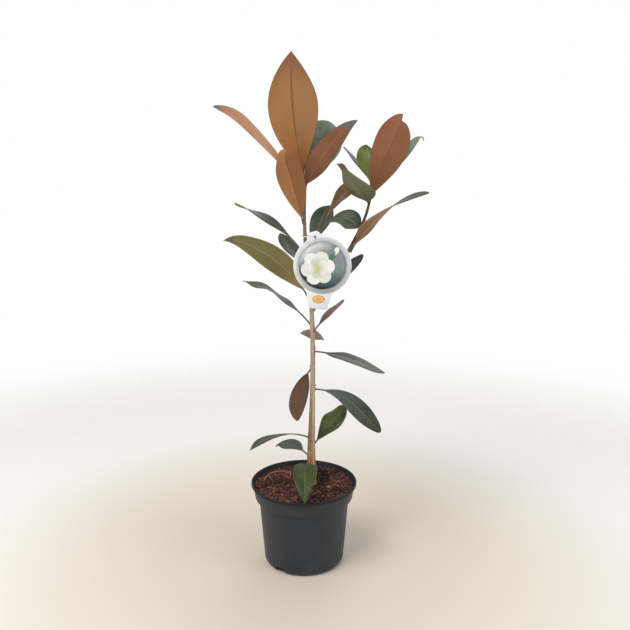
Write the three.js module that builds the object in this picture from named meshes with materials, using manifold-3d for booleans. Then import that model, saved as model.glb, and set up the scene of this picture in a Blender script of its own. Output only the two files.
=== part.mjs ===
// Young evergreen magnolia in a round nursery pot, with its hanging plant label.
// Units are millimetres, +Z is up, and the front looks along +Y. The origin is the
// middle of the pot's flat underside. Angles are degrees: a heading is the direction
// seen from above, counted from +X over +Y, and a climb is the angle above level.

import * as THREE from 'three';
import { mergeVertices } from 'three/addons/utils/BufferGeometryUtils.js';
import Module from 'manifold-3d';

const wasm = await Module();
wasm.setup();

// Pot: a standard 17 cm container with a band under its lip.
const potHeight = 135;
const lipRadius = 85;
const lipDepth = 5;
const lipTopWidth = 2.2;
const bandTopRadius = 81.5;
const bandFootRadius = 78.8;
const bandDepth = 25;
const wallTopRadius = 72.5;
const wallFootRadius = 64.5;
const wallThickness = 1.8;
const floorThickness = 2.4;
const footRounding = 9;
const edgeBreak = 1;
const roundSides = 56;
const slotWidth = 17;
const slotHeight = 9;
const slotHeadings = [233, 53];

// Potting mix: it fills the pot nearly to the lip.
const soilTop = 129;
const soilDip = 1;
const soilSeatRadius = 14;
const soilRings = 9;
const crumbPitch = 22;
const fitGap = 0.3;

// Trunk and its leader: the places its middle passes, with the radius there.
const trunk = limbPath([
  { x: 10.8, y: 0, z: 129.5, radius: 8.4 },
  { x: 11.4, y: -0.5, z: 145, radius: 7.4 },
  { x: 12, y: -1, z: 190, radius: 5.9 },
  { x: 14, y: 1, z: 280, radius: 4 },
  { x: 14.5, y: 2, z: 350, radius: 3.7 },
  { x: 12, y: 1, z: 430, radius: 3.4 },
  { x: 4, y: -1, z: 510, radius: 2.9 },
  { x: 2, y: 0, z: 560, radius: 2.4 },
  { x: 3, y: 1, z: 598, radius: 2.1 },
]);

// Bough on the right: it starts inside the trunk and is trimmed clear of it.
const bough = limbPath([
  { x: 12, y: 1, z: 436, radius: 3.1 },
  { x: 40, y: 3, z: 462, radius: 2.9 },
  { x: 70, y: 8, z: 508, radius: 2.5 },
  { x: 94, y: 12, z: 556, radius: 2.1 },
  { x: 103, y: 14, z: 588, radius: 1.9 },
]);

// The two shoots that carry a whorl of leaves round a pointed bud.
const leaderShoot = limbPath([
  { x: 3, y: 1, z: 598.4, radius: 2.1 },
  { x: 3.4, y: 1.2, z: 610, radius: 2.6 },
  { x: 3.6, y: 1.4, z: 622, radius: 3 },
  { x: 3.6, y: 1.6, z: 640, radius: 0.9 },
]);
const boughShoot = limbPath([
  { x: 103, y: 14, z: 588.4, radius: 1.9 },
  { x: 106, y: 15, z: 600, radius: 2 },
  { x: 108, y: 15.6, z: 614, radius: 2.5 },
  { x: 108, y: 16, z: 630, radius: 0.8 },
]);

// Leaves. `at` is the height where the stalk leaves its limb. The midrib starts with
// `heading` and `climb`; by the tip its climb has changed by `sag` and its heading by
// `swing`, and from the share `curlFrom` on it bends by `curl` more. `roll` turns the
// blade about the midrib and `twist` adds to that along it, `fold` lifts both halves
// into a V and `wave` ripples the margins. The blade is widest at the share `widest`, a
// high `neck` keeps it narrow below that, and a high `tipShape` draws out its point. A
// `blunt` tip keeps that share of the width, and `short` ends one half before the other.
const plainLeaf = {
  stalk: 14, sag: 0, swing: 0, curl: 0, curlFrom: 0.75, roll: 0, twist: 0,
  fold: 10, wave: 0, widest: 0.5, neck: 1.3, tipShape: 0.8, short: 0, blunt: 0,
};

const trunkLeaves = [
  { name: 'leaf_01', at: 159, heading: 258, climb: 50, sag: -110, swing: 15, length: 110,
    width: 38, stalk: 12, fold: 15 },
  { name: 'leaf_02', at: 176, heading: 130, climb: 18, sag: -46, length: 80, width: 29,
    stalk: 11, roll: -18, twist: 68, widest: 0.4, neck: 1.5, tipShape: 1.4, blunt: 0.18,
    curl: -20 },
  { name: 'leaf_03', at: 196, heading: 43, climb: 37, sag: -8, length: 77, width: 39,
    stalk: 8, roll: -20, twist: 20, wave: 3, widest: 0.68, neck: 1, tipShape: 0.5,
    curl: 45 },
  { name: 'leaf_04', at: 210, heading: 213, climb: 29, sag: -50, swing: 8, length: 102,
    width: 25, roll: -8, widest: 0.7, neck: 1.8, curl: -12 },
  { name: 'leaf_05', at: 288, heading: 15, climb: -7, sag: -72, swing: -8, length: 127,
    width: 31, roll: -10, twist: -100, neck: 0.9, tipShape: 0.5, curl: 28, curlFrom: 0.4 },
  { name: 'leaf_06', at: 319, heading: 141, climb: -50, sag: -40, swing: -42, length: 96,
    width: 39, stalk: 8, roll: -41, twist: 86, widest: 0.66, neck: 0.9, tipShape: 0.6,
    curl: 8 },
  { name: 'leaf_07', at: 350, heading: 325, climb: 5, sag: -27, length: 113, width: 30,
    roll: -6, widest: 0.34, neck: 1.6, tipShape: 0.5, curl: 16 },
  { name: 'leaf_08', at: 376, heading: 82, climb: 15, sag: -70, swing: 16, length: 74,
    width: 45, stalk: 12, roll: -17, fold: -25, widest: 0.43, neck: 1.4, curl: 10 },
  { name: 'leaf_09', at: 384, heading: 307, climb: 45, sag: -20, swing: -18, length: 92,
    width: 24, roll: 9, twist: -32, widest: 0.62, neck: 1.2, tipShape: 0.5, curl: 10 },
  { name: 'leaf_10', at: 394, heading: 146, climb: 42, sag: -33, swing: 7, length: 127,
    width: 34, stalk: 15, roll: -8, twist: 8, wave: 5, widest: 0.53, neck: 2.4,
    tipShape: 1.2, curl: -6, curlFrom: 0.7 },
  { name: 'leaf_11', at: 415, heading: 35, climb: 46, sag: -15, swing: 6, length: 112,
    width: 36, stalk: 18, roll: 8, twist: -10, widest: 0.6, neck: 1.8, tipShape: 0.6 },
  { name: 'leaf_12', at: 438, heading: 192, climb: 60, sag: -50, swing: -36, length: 153,
    width: 40, roll: -50, twist: -63, fold: 12, wave: 3, widest: 0.3, neck: 0.9,
    tipShape: 0.85, curl: -25 },
  { name: 'leaf_13', at: 479, heading: 116, climb: 26, length: 98, width: 31, stalk: 12,
    roll: -17, twist: 28, tipShape: 0.6 },
  { name: 'leaf_14', at: 492, heading: 6, climb: 74, sag: -15, swing: -22, length: 94,
    width: 38, stalk: 25, roll: -4, twist: -50, widest: 0.8, neck: 8, tipShape: 0.62,
    curl: -124, curlFrom: 0.3 },
  { name: 'leaf_15', at: 498, heading: 24, climb: 73, sag: -30, swing: -12, length: 109,
    width: 49, stalk: 25, roll: 34, twist: 2, widest: 0.8, neck: 5.8, tipShape: 0.84,
    blunt: 0.19, curl: -55 },
  { name: 'leaf_16', at: 502, heading: 141, climb: 48, sag: -40, swing: 12, length: 139,
    width: 31, stalk: 15, roll: 68, twist: -98, widest: 0.72, neck: 2.7, tipShape: 0.48,
    blunt: 0.6, curl: 8, curlFrom: 0.6 },
  { name: 'leaf_17', at: 505, heading: 56, climb: 54, sag: -10, length: 80, width: 35,
    stalk: 18, roll: -10, twist: -6, widest: 0.6, neck: 1, curl: -35 },
  { name: 'leaf_18', at: 551, heading: 235, climb: 67, sag: -3, swing: -4, length: 108,
    width: 40, stalk: 8, roll: -15, twist: -46, widest: 0.64, neck: 0.9, tipShape: 0.52,
    blunt: 0.4, curl: 97, curlFrom: 0.88 },
];

const boughLeaves = [
  { name: 'leaf_19', at: 508, heading: 343, climb: 63, sag: -51, swing: -16, length: 150,
    width: 40, stalk: 8, roll: 41, twist: -79, widest: 0.28, neck: 2, tipShape: 0.63,
    curl: -11, curlFrom: 0.83 },
  { name: 'leaf_20', at: 579, heading: 241, climb: 30, sag: 22, swing: -30, length: 89,
    width: 52, stalk: 6, roll: 4, twist: -11, widest: 0.31, neck: 1, tipShape: 1.6,
    blunt: 0.26, curl: -75, curlFrom: 0.9 },
];

const leaderWhorl = [
  { at: 610, heading: 201, climb: 75, sag: 17, swing: -3, length: 177, width: 76, stalk: 12,
    roll: -71, twist: 6, fold: 14, widest: 0.56, neck: 1.2, tipShape: 0.92 },
  { at: 602, heading: 167, climb: 48, sag: -6, swing: 3, length: 174, width: 40, stalk: 15,
    roll: -30, fold: 8, widest: 0.64, neck: 1, tipShape: 0.7, curl: -34, curlFrom: 0.66 },
  { at: 603, heading: 324, climb: 60, sag: -27, swing: -8, length: 132, width: 38, stalk: 6,
    roll: 34, twist: -11, widest: 0.33, neck: 0.9, tipShape: 0.72, curl: -24 },
  { at: 600, heading: 62, climb: 65, sag: -30, swing: 6, length: 127, width: 76, stalk: 12,
    roll: -8, twist: -15, neck: 1.15, tipShape: 0.5 },
];

const boughWhorl = [
  { at: 590, heading: 321, climb: 69, sag: -11, swing: 1, length: 129, width: 55, stalk: 2,
    roll: 64, twist: 17, fold: 8, widest: 0.67, neck: 0.95, tipShape: 0.45, short: 0.08,
    curl: 23, curlFrom: 0.72 },
  { at: 608, heading: 98, climb: 53, sag: -10, length: 73, width: 46, stalk: 8, twist: -18,
    widest: 0.46, neck: 0.95, tipShape: 0.6 },
  { at: 604, heading: 108, climb: 35, sag: -3, swing: 16, length: 102, width: 29, stalk: 10,
    roll: -34, twist: 10, fold: 5, tipShape: 0.5 },
  { at: 602, heading: 35, climb: 44, sag: -8, length: 124, width: 32, stalk: 12, roll: -7,
    fold: 5, widest: 0.44, neck: 1.05, tipShape: 1, curl: -110, curlFrom: 0.85 },
];

const leafSides = 8;
const leafSteps = 15;
const stalkRadius = 1.3;
const leafThickness = 0.011;
const leastHalfThickness = 0.7;
const tipHalfWidth = 1;
const roundFrom = 0.93;
const limbSides = 10;
const trunkSteps = 30;
const boughSteps = 16;
const shootSides = 8;
const shootSteps = 6;

// Plant label: a round disc with a tab for its tie above and a tongue below.
const labelCentre = new THREE.Vector3(29, -13, 487);
const labelRadius = 44;
const labelThickness = 1.2;
const labelLean = 10;
const tabAngle = 105;
const tabRootWidth = 60;
const tabEndWidth = 18;
const tabReach = 53;
const tongueAngle = -97;
const tongueRootWidth = 44;
const tongueEndWidth = 31;
const tongueReach = 66;
const cornerRadius = 6;
const holeReach = 45;
const holeRadius = 2.2;
const holeSides = 12;
const tieRadius = 0.7;
const tieHalfLength = 9.9;
const tieHalfDepth = 11;
const tieSides = 6;
const tieSteps = 30;
const labelTurn = radians(90 - labelLean);
const holeSpot = new THREE.Vector3(
  holeReach * Math.cos(radians(tabAngle)), holeReach * Math.sin(radians(tabAngle)), 0,
);

const bark = finish(0xa98560, 0.75);
const youngBark = finish(0x8a5a44, 0.7);
const potPlastic = finish(0x36383a, 0.45);
const pottingMix = finish(0x50302c, 0.95);
const leafGreen = finish(0x4c5f3a, 0.45);
const leafBronze = finish(0xa1683c, 0.8);
const labelPlastic = finish(0xe9eae8, 0.4);
const weldDistance = 1e-4;

function finish(color, roughness) {
  return new THREE.MeshStandardMaterial({ color, roughness, metalness: 0 });
}

function radians(degrees) {
  return THREE.MathUtils.degToRad(degrees);
}

// Limbs: a smooth curve through the named places, with the radius eased between them.
function limbPath(places) {
  const points = places.map((p) => new THREE.Vector3(p.x, p.y, p.z));
  return { places, curve: new THREE.CatmullRomCurve3(points) };
}

function radiusAt(limb, z) {
  const { places } = limb;
  const last = places.length - 1;
  const above = THREE.MathUtils.clamp(places.findIndex((p) => p.z > z), 0, last);
  if (z >= places[last].z) return places[last].radius;
  if (above === 0) return places[0].radius;
  const low = places[above - 1];
  const high = places[above];
  return THREE.MathUtils.mapLinear(z, low.z, high.z, low.radius, high.radius);
}

// The share of the limb's curve whose middle has the height z: every limb here climbs.
function shareAt(limb, z) {
  let low = 0;
  let high = 1;
  for (let i = 0; i < 30; i += 1) {
    const middle = (low + high) / 2;
    if (limb.curve.getPoint(middle).z < z) low = middle;
    else high = middle;
  }
  return low;
}

// A closed tube bent from a cylinder: `place` puts each vertex, given its share of the
// way along and its two coordinates on the unit circle of the section.
function bentTube(sides, steps, place) {
  const geometry = new THREE.CylinderGeometry(1, 1, 1, sides, steps);
  geometry.deleteAttribute('normal');
  geometry.deleteAttribute('uv');
  const tube = mergeVertices(geometry);
  const position = tube.getAttribute('position');
  for (let i = 0; i < position.count; i += 1) {
    const step = Math.round((position.getY(i) + 0.5) * steps);
    const point = place(step, position.getX(i), position.getZ(i));
    position.setXYZ(i, point.x, point.y, point.z);
  }
  return tube;
}

function limbTube(limb, sides, steps, extra = 0) {
  return bentTube(sides, steps, (step, across, out) => {
    const middle = limb.curve.getPoint(step / steps);
    const ahead = limb.curve.getTangent(step / steps);
    const side = new THREE.Vector3(0, 1, 0).cross(ahead).normalize();
    const face = side.clone().cross(ahead);
    const radius = radiusAt(limb, middle.z) + extra;
    return middle.addScaledVector(side, across * radius).addScaledVector(face, out * radius);
  });
}

// Leaves: the frame at the share u of the midrib, stalk included.
function facing(leaf, u) {
  const curled = Math.max(0, (u - leaf.curlFrom) / (1 - leaf.curlFrom)) ** 1.5;
  const heading = radians(leaf.heading + leaf.swing * u);
  const climb = radians(leaf.climb + leaf.sag * u + leaf.curl * curled);
  const ahead = new THREE.Vector3(
    Math.cos(heading) * Math.cos(climb), Math.sin(heading) * Math.cos(climb), Math.sin(climb),
  );
  const side = new THREE.Vector3(Math.sin(heading), -Math.cos(heading), 0);
  side.applyAxisAngle(ahead, -radians(leaf.roll + leaf.twist * u));
  return { ahead, side, face: side.clone().cross(ahead) };
}

function midrib(leaf, start, steps) {
  const reach = leaf.stalk + leaf.length;
  const spot = start.clone();
  const frames = [];
  for (let i = 0; i <= steps; i += 1) {
    const t = ((i / steps) * reach - leaf.stalk) / leaf.length;
    frames.push({ spot: spot.clone(), t, ...facing(leaf, i / steps) });
    spot.addScaledVector(facing(leaf, (i + 0.5) / steps).ahead, reach / steps);
  }
  return frames;
}

// Share of the full width at the share t of the blade.
function outline(leaf, t) {
  if (t <= 0) return 0;
  if (t < leaf.widest) return Math.sin((Math.PI / 2) * (t / leaf.widest)) ** leaf.neck;
  const toTip = Math.min(1, (t - leaf.widest) / (1 - leaf.widest));
  const rounding = Math.max(0, (t - roundFrom) / (1 - roundFrom));
  const end = leaf.blunt * Math.sqrt(Math.max(0, 1 - rounding ** 2));
  return Math.max(end, Math.cos((Math.PI / 2) * toTip) ** leaf.tipShape);
}

function leafTube(leaf, start) {
  const frames = midrib(leaf, start, leafSteps);
  const fold = radians(leaf.fold);
  const halfThickness = Math.max(leastHalfThickness, (leafThickness * leaf.length) / 2);
  return bentTube(leafSides, leafSteps, (step, across, out) => {
    const { spot, t, side, face } = frames[step];
    const share = outline(leaf, t);
    const sooner = across < 0 ? Math.min(1, t / (1 - leaf.short)) : t;
    const least = t < 0.5 ? stalkRadius : tipHalfWidth;
    const half = Math.max(least, (leaf.width / 2) * outline(leaf, sooner));
    const thick = t <= 0 ? stalkRadius : THREE.MathUtils.lerp(stalkRadius, halfThickness, share);
    const ripple = leaf.wave * share * Math.sin(3 * Math.PI * t) * across;
    const lift = Math.abs(across) * half * Math.sin(fold) * share + ripple;
    return spot.clone()
      .addScaledVector(side, across * half * Math.cos(fold * share))
      .addScaledVector(face, out * thick + lift);
  });
}

// Where a stalk starts: just off the limb's bark, on the side that it heads for.
function offBark(limb, leaf) {
  const share = shareAt(limb, leaf.at);
  const along = limb.curve.getTangent(share);
  const { ahead } = facing(leaf, 0);
  const lean = Math.abs(ahead.dot(along));
  const heading = radians(leaf.heading);
  const out = new THREE.Vector3(Math.cos(heading), Math.sin(heading), 0);
  out.addScaledVector(along, -out.dot(along)).normalize();
  const off = radiusAt(limb, leaf.at) + fitGap + stalkRadius * lean;
  return limb.curve.getPoint(share).addScaledVector(out, off);
}

// Joining and cutting closed meshes.
function solid(geometry) {
  const plain = new THREE.BufferGeometry();
  plain.setAttribute('position', geometry.getAttribute('position'));
  plain.setIndex(geometry.getIndex());
  const merged = mergeVertices(plain, weldDistance);
  return new wasm.Manifold(new wasm.Mesh({
    numProp: 3,
    vertProperties: new Float32Array(merged.getAttribute('position').array),
    triVerts: new Uint32Array(merged.getIndex().array),
  }));
}

function geometryOf(body) {
  const mesh = body.getMesh();
  const geometry = new THREE.BufferGeometry();
  geometry.setAttribute('position', new THREE.BufferAttribute(mesh.vertProperties, 3));
  geometry.setIndex(new THREE.BufferAttribute(mesh.triVerts, 1));
  geometry.computeVertexNormals();
  return geometry;
}

function node(name, geometry, material) {
  const mesh = new THREE.Mesh(geometry, material);
  mesh.name = name;
  return mesh;
}

function pot() {
  const profile = new THREE.Path();
  const bandFoot = potHeight - bandDepth;
  profile.moveTo(0, 0);
  profile.lineTo(wallFootRadius - footRounding, 0);
  profile.absarc(wallFootRadius - footRounding, footRounding, footRounding, -Math.PI / 2, 0, false);
  profile.lineTo(wallTopRadius, bandFoot - 2 * edgeBreak);
  profile.lineTo(bandFootRadius, bandFoot);
  profile.lineTo(bandTopRadius, potHeight - lipDepth);
  profile.lineTo(lipRadius, potHeight - lipDepth + edgeBreak);
  profile.lineTo(lipRadius, potHeight - edgeBreak);
  profile.lineTo(lipRadius - edgeBreak, potHeight);
  profile.lineTo(lipRadius - lipTopWidth, potHeight);
  profile.lineTo(bandTopRadius - wallThickness, potHeight - lipDepth);
  profile.lineTo(bandFootRadius - wallThickness, bandFoot + edgeBreak);
  profile.lineTo(wallTopRadius - wallThickness, bandFoot - edgeBreak);
  profile.lineTo(wallFootRadius - wallThickness, footRounding);
  profile.lineTo(wallFootRadius - footRounding, floorThickness);
  profile.lineTo(0, floorThickness);
  let body = solid(new THREE.LatheGeometry(profile.getPoints(4), roundSides).rotateX(Math.PI / 2));
  for (const heading of slotHeadings) {
    const slot = new THREE.BoxGeometry(2 * footRounding, slotWidth, 2 * slotHeight);
    slot.translate(wallFootRadius, 0, 0);
    slot.rotateZ(radians(heading));
    body = body.subtract(solid(slot));
  }
  return node('pot', geometryOf(body), potPlastic);
}

function soil() {
  const inner = wallThickness + fitGap;
  const bandFoot = potHeight - bandDepth;
  const topRadius = THREE.MathUtils.mapLinear(
    soilTop, bandFoot, potHeight - lipDepth, bandFootRadius, bandTopRadius,
  ) - inner - fitGap;
  const points = [
    new THREE.Vector2(0, floorThickness + fitGap),
    new THREE.Vector2(wallFootRadius - footRounding - edgeBreak, floorThickness + fitGap),
    new THREE.Vector2(wallFootRadius - inner - edgeBreak, footRounding + edgeBreak),
    new THREE.Vector2(wallTopRadius - inner - edgeBreak, bandFoot - edgeBreak),
    new THREE.Vector2(bandFootRadius - inner - edgeBreak, bandFoot + 2 * edgeBreak),
  ];
  for (let ring = soilRings; ring >= 0; ring -= 1) {
    points.push(new THREE.Vector2((topRadius * ring) / soilRings, soilTop));
  }
  const geometry = new THREE.LatheGeometry(points, roundSides).rotateX(Math.PI / 2);
  const position = geometry.getAttribute('position');
  const wave = (2 * Math.PI) / crumbPitch;
  for (let i = 0; i < position.count; i += 1) {
    const x = position.getX(i);
    const y = position.getY(i);
    const atWall = Math.hypot(x, y) > topRadius - edgeBreak;
    const atTrunk = Math.hypot(x - trunk.places[0].x, y) < soilSeatRadius;
    if (position.getZ(i) < soilTop || atWall || atTrunk) continue;
    const crumbs = Math.sin(x * wave) * Math.cos(y * wave);
    position.setZ(i, soilTop - soilDip * (1 + 0.5 * crumbs));
  }
  geometry.deleteAttribute('normal');
  geometry.deleteAttribute('uv');
  return node('potting_mix', mergeVertices(geometry, weldDistance), pottingMix);
}

function label() {
  const disc = new THREE.CylinderGeometry(labelRadius, labelRadius, labelThickness, roundSides);
  disc.rotateX(Math.PI / 2);
  let body = solid(disc)
    .add(solid(strip(tabRootWidth, tabEndWidth, tabReach, tabAngle)))
    .add(solid(strip(tongueRootWidth, tongueEndWidth, tongueReach, tongueAngle)));
  const hole = new THREE.CylinderGeometry(holeRadius, holeRadius, 3 * labelThickness, holeSides);
  hole.rotateX(Math.PI / 2);
  hole.translate(holeSpot.x, holeSpot.y, 0);
  body = body.subtract(solid(hole));
  const mesh = node('label', geometryOf(body), labelPlastic);
  mesh.position.copy(labelCentre);
  mesh.rotation.x = labelTurn;
  return mesh;
}

// A tapering strip from inside the disc out to an end with round corners.
function strip(rootWidth, endWidth, reach, angle) {
  const root = rootWidth / 2;
  const end = endWidth / 2;
  const shape = new THREE.Shape();
  shape.moveTo(labelRadius / 2, root);
  shape.lineTo(labelRadius / 2, -root);
  shape.lineTo(reach - cornerRadius, -end);
  shape.absarc(reach - cornerRadius, cornerRadius - end, cornerRadius, -Math.PI / 2, 0, false);
  shape.absarc(reach - cornerRadius, end - cornerRadius, cornerRadius, 0, Math.PI / 2, false);
  const plate = new THREE.ExtrudeGeometry(shape, {
    depth: labelThickness, bevelEnabled: false, curveSegments: 6,
  });
  plate.translate(0, 0, -labelThickness / 2);
  plate.rotateZ(radians(angle));
  return plate;
}

// The tie: an oval loop that passes through the hole and bears on the trunk behind.
function tie() {
  const hole = holeSpot.clone().applyAxisAngle(new THREE.Vector3(1, 0, 0), labelTurn);
  hole.add(labelCentre);
  const height = hole.z + holeRadius - tieRadius - 2 * fitGap;
  const ring = new THREE.TorusGeometry(1, 0.5, tieSides, tieSteps);
  const position = ring.getAttribute('position');
  for (let i = 0; i < position.count; i += 1) {
    const x = position.getX(i);
    const y = position.getY(i);
    const turn = Math.atan2(y, x);
    const out = (Math.hypot(x, y) - 1) * 2 * tieRadius;
    position.setXYZ(
      i,
      hole.x - tieHalfLength + (tieHalfLength + out) * Math.cos(turn),
      hole.y + (tieHalfDepth + out) * Math.sin(turn),
      height + position.getZ(i) * 2 * tieRadius,
    );
  }
  return node('label_tie', ring, labelPlastic);
}

function whorl(name, shoot, leaves) {
  let body = solid(limbTube(shoot, shootSides, shootSteps));
  for (const given of leaves) {
    const leaf = { ...plainLeaf, ...given };
    const start = shoot.curve.getPoint(shareAt(shoot, leaf.at));
    body = body.add(solid(leafTube(leaf, start)));
  }
  return node(name, geometryOf(body), leafBronze);
}

const model = new THREE.Group();
model.add(pot(), soil());
model.add(node('trunk', limbTube(trunk, limbSides, trunkSteps), bark));

const clearance = solid(limbTube(trunk, limbSides, trunkSteps, fitGap));
const boughBody = solid(limbTube(bough, limbSides, boughSteps)).subtract(clearance);
model.add(node('bough_right', geometryOf(boughBody), youngBark));

for (const [limb, leaves] of [[trunk, trunkLeaves], [bough, boughLeaves]]) {
  for (const given of leaves) {
    const leaf = { ...plainLeaf, ...given };
    model.add(node(leaf.name, leafTube(leaf, offBark(limb, leaf)), leafGreen));
  }
}

model.add(whorl('whorl_leader', leaderShoot, leaderWhorl));
model.add(whorl('whorl_bough', boughShoot, boughWhorl));
model.add(label(), tie());

export default model;
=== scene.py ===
import math
import random

import bmesh
import bpy
import numpy as np
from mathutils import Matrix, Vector, noise


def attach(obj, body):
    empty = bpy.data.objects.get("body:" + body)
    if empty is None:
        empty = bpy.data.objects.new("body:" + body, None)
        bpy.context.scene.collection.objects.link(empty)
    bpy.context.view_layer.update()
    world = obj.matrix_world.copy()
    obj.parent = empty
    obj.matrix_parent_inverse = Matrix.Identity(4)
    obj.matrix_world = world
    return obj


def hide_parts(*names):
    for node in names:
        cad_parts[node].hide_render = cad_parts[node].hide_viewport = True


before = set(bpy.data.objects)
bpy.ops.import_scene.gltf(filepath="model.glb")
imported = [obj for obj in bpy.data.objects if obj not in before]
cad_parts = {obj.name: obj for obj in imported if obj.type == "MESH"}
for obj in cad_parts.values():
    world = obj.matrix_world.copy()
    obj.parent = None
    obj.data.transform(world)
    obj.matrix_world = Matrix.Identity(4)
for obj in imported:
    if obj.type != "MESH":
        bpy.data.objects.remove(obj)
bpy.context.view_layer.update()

# Young evergreen magnolia in a nursery pot. Shapes are worked out in millimetres and
# written in metres. Headings are seen from above, from +X over +Y; climbs are above level.

scene = bpy.context.scene
mm = 0.001
rng = random.Random(28)

camera = {
    "away": 1100,  # in front of the pot's middle
    "height": 628,
    "pitch": 11.30,  # looking down
    "yaw": 0.935,
    "lens": 41.37,
    "sensor": 36,
    "nearest": 0.02,  # m
}
studio = {
    "floorColour": (0.70, 0.62, 0.52),
    "farColour": (0.93, 0.92, 0.90),
    "floorRadius": 3.0,  # m, as are the next four
    "farFrom": 0.15,
    "farTo": 0.8,
    "fadeFrom": 0.55,
    "fadeTo": 1.5,
    "skyLight": 0.50,
    "skySeen": 1.0,
    "aim": (0, 0, 0.4),  # where the lamps point, in m
    "lamps": [  # place in m, width in m, watts, colour
        dict(name="keyLamp", at=(-0.9, -1.1, 2.3), wide=1.1, watts=34, colour=(1.0, 0.98, 0.95)),
        dict(name="fillLamp", at=(1.7, -1.0, 1.1), wide=1.4, watts=9, colour=(0.97, 0.98, 1.0)),
        dict(name="backLamp", at=(0.6, 1.8, 1.6), wide=1.5, watts=10, colour=(1.0, 1.0, 1.0)),
        dict(name="leftLamp", at=(-1.7, -0.5, 0.7), wide=0.8, watts=5, colour=(1.0, 0.99, 0.98)),
        dict(name="rightLamp", at=(1.6, -0.7, 0.6), wide=0.8, watts=3, colour=(1.0, 0.99, 0.98)),
    ],
}


def addCamera():
    data = bpy.data.cameras.new("camera")
    data.lens = camera["lens"]
    data.sensor_width = camera["sensor"]
    data.clip_start = camera["nearest"]
    eye = bpy.data.objects.new("camera", data)
    eye.location = (0, -camera["away"] * mm, camera["height"] * mm)
    eye.rotation_euler = (math.radians(90 - camera["pitch"]), 0, math.radians(-camera["yaw"]))
    scene.collection.objects.link(eye)
    scene.camera = eye


def addLamps():
    for lamp in studio["lamps"]:
        data = bpy.data.lights.new(lamp["name"], "AREA")
        data.size = lamp["wide"]
        data.energy = lamp["watts"]
        data.color = lamp["colour"]
        light = bpy.data.objects.new(lamp["name"], data)
        light.location = lamp["at"]
        light.rotation_euler = (Vector(studio["aim"]) - light.location).to_track_quat("-Z", "Y").to_euler()
        scene.collection.objects.link(light)


def addSky():
    world = bpy.data.worlds.new("studioSky")
    scene.world = world
    world.use_nodes = True
    nodes, links = world.node_tree.nodes, world.node_tree.links
    background = nodes["Background"]
    background.inputs["Color"].default_value = (1, 1, 1, 1)
    rays = nodes.new("ShaderNodeLightPath")
    strength = nodes.new("ShaderNodeMapRange")
    strength.inputs["To Min"].default_value = studio["skyLight"]
    strength.inputs["To Max"].default_value = studio["skySeen"]
    links.new(rays.outputs["Is Camera Ray"], strength.inputs["Value"])
    links.new(strength.outputs["Result"], background.inputs["Strength"])


scene.view_settings.view_transform = "Standard"
addCamera()
addLamps()
addSky()
print("camera and light ready")


class Wire:  # the output of a node, ready for sums
    def __init__(self, finish, socket):
        self.finish = finish
        self.socket = socket

    def maths(self, operation, *values):
        return self.finish.add("ShaderNodeMath", {"operation": operation}, dict(enumerate(values)))

    def __add__(self, other):
        return self.maths("ADD", self, other)

    def __sub__(self, other):
        return self.maths("SUBTRACT", self, other)

    def __mul__(self, other):
        return self.maths("MULTIPLY", self, other)

    def __truediv__(self, other):
        return self.maths("DIVIDE", self, other)

    def __pow__(self, other):
        return self.maths("POWER", self, other)

    def __radd__(self, other):
        return self.maths("ADD", other, self)

    def __rsub__(self, other):
        return self.maths("SUBTRACT", other, self)

    def __rmul__(self, other):
        return self.maths("MULTIPLY", other, self)

    def __abs__(self):
        return self.maths("ABSOLUTE", self)

    def fraction(self):
        return self.maths("FRACT", self)

    def above(self, other):
        return self.maths("GREATER_THAN", self, other)

    def between(self, low, high, first=0.0, last=1.0):  # eased from first to last
        return self.finish.add(
            "ShaderNodeMapRange", {"interpolation_type": "SMOOTHSTEP"},
            {"Value": self, "From Min": low, "From Max": high, "To Min": first, "To Max": last},
        )


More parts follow.
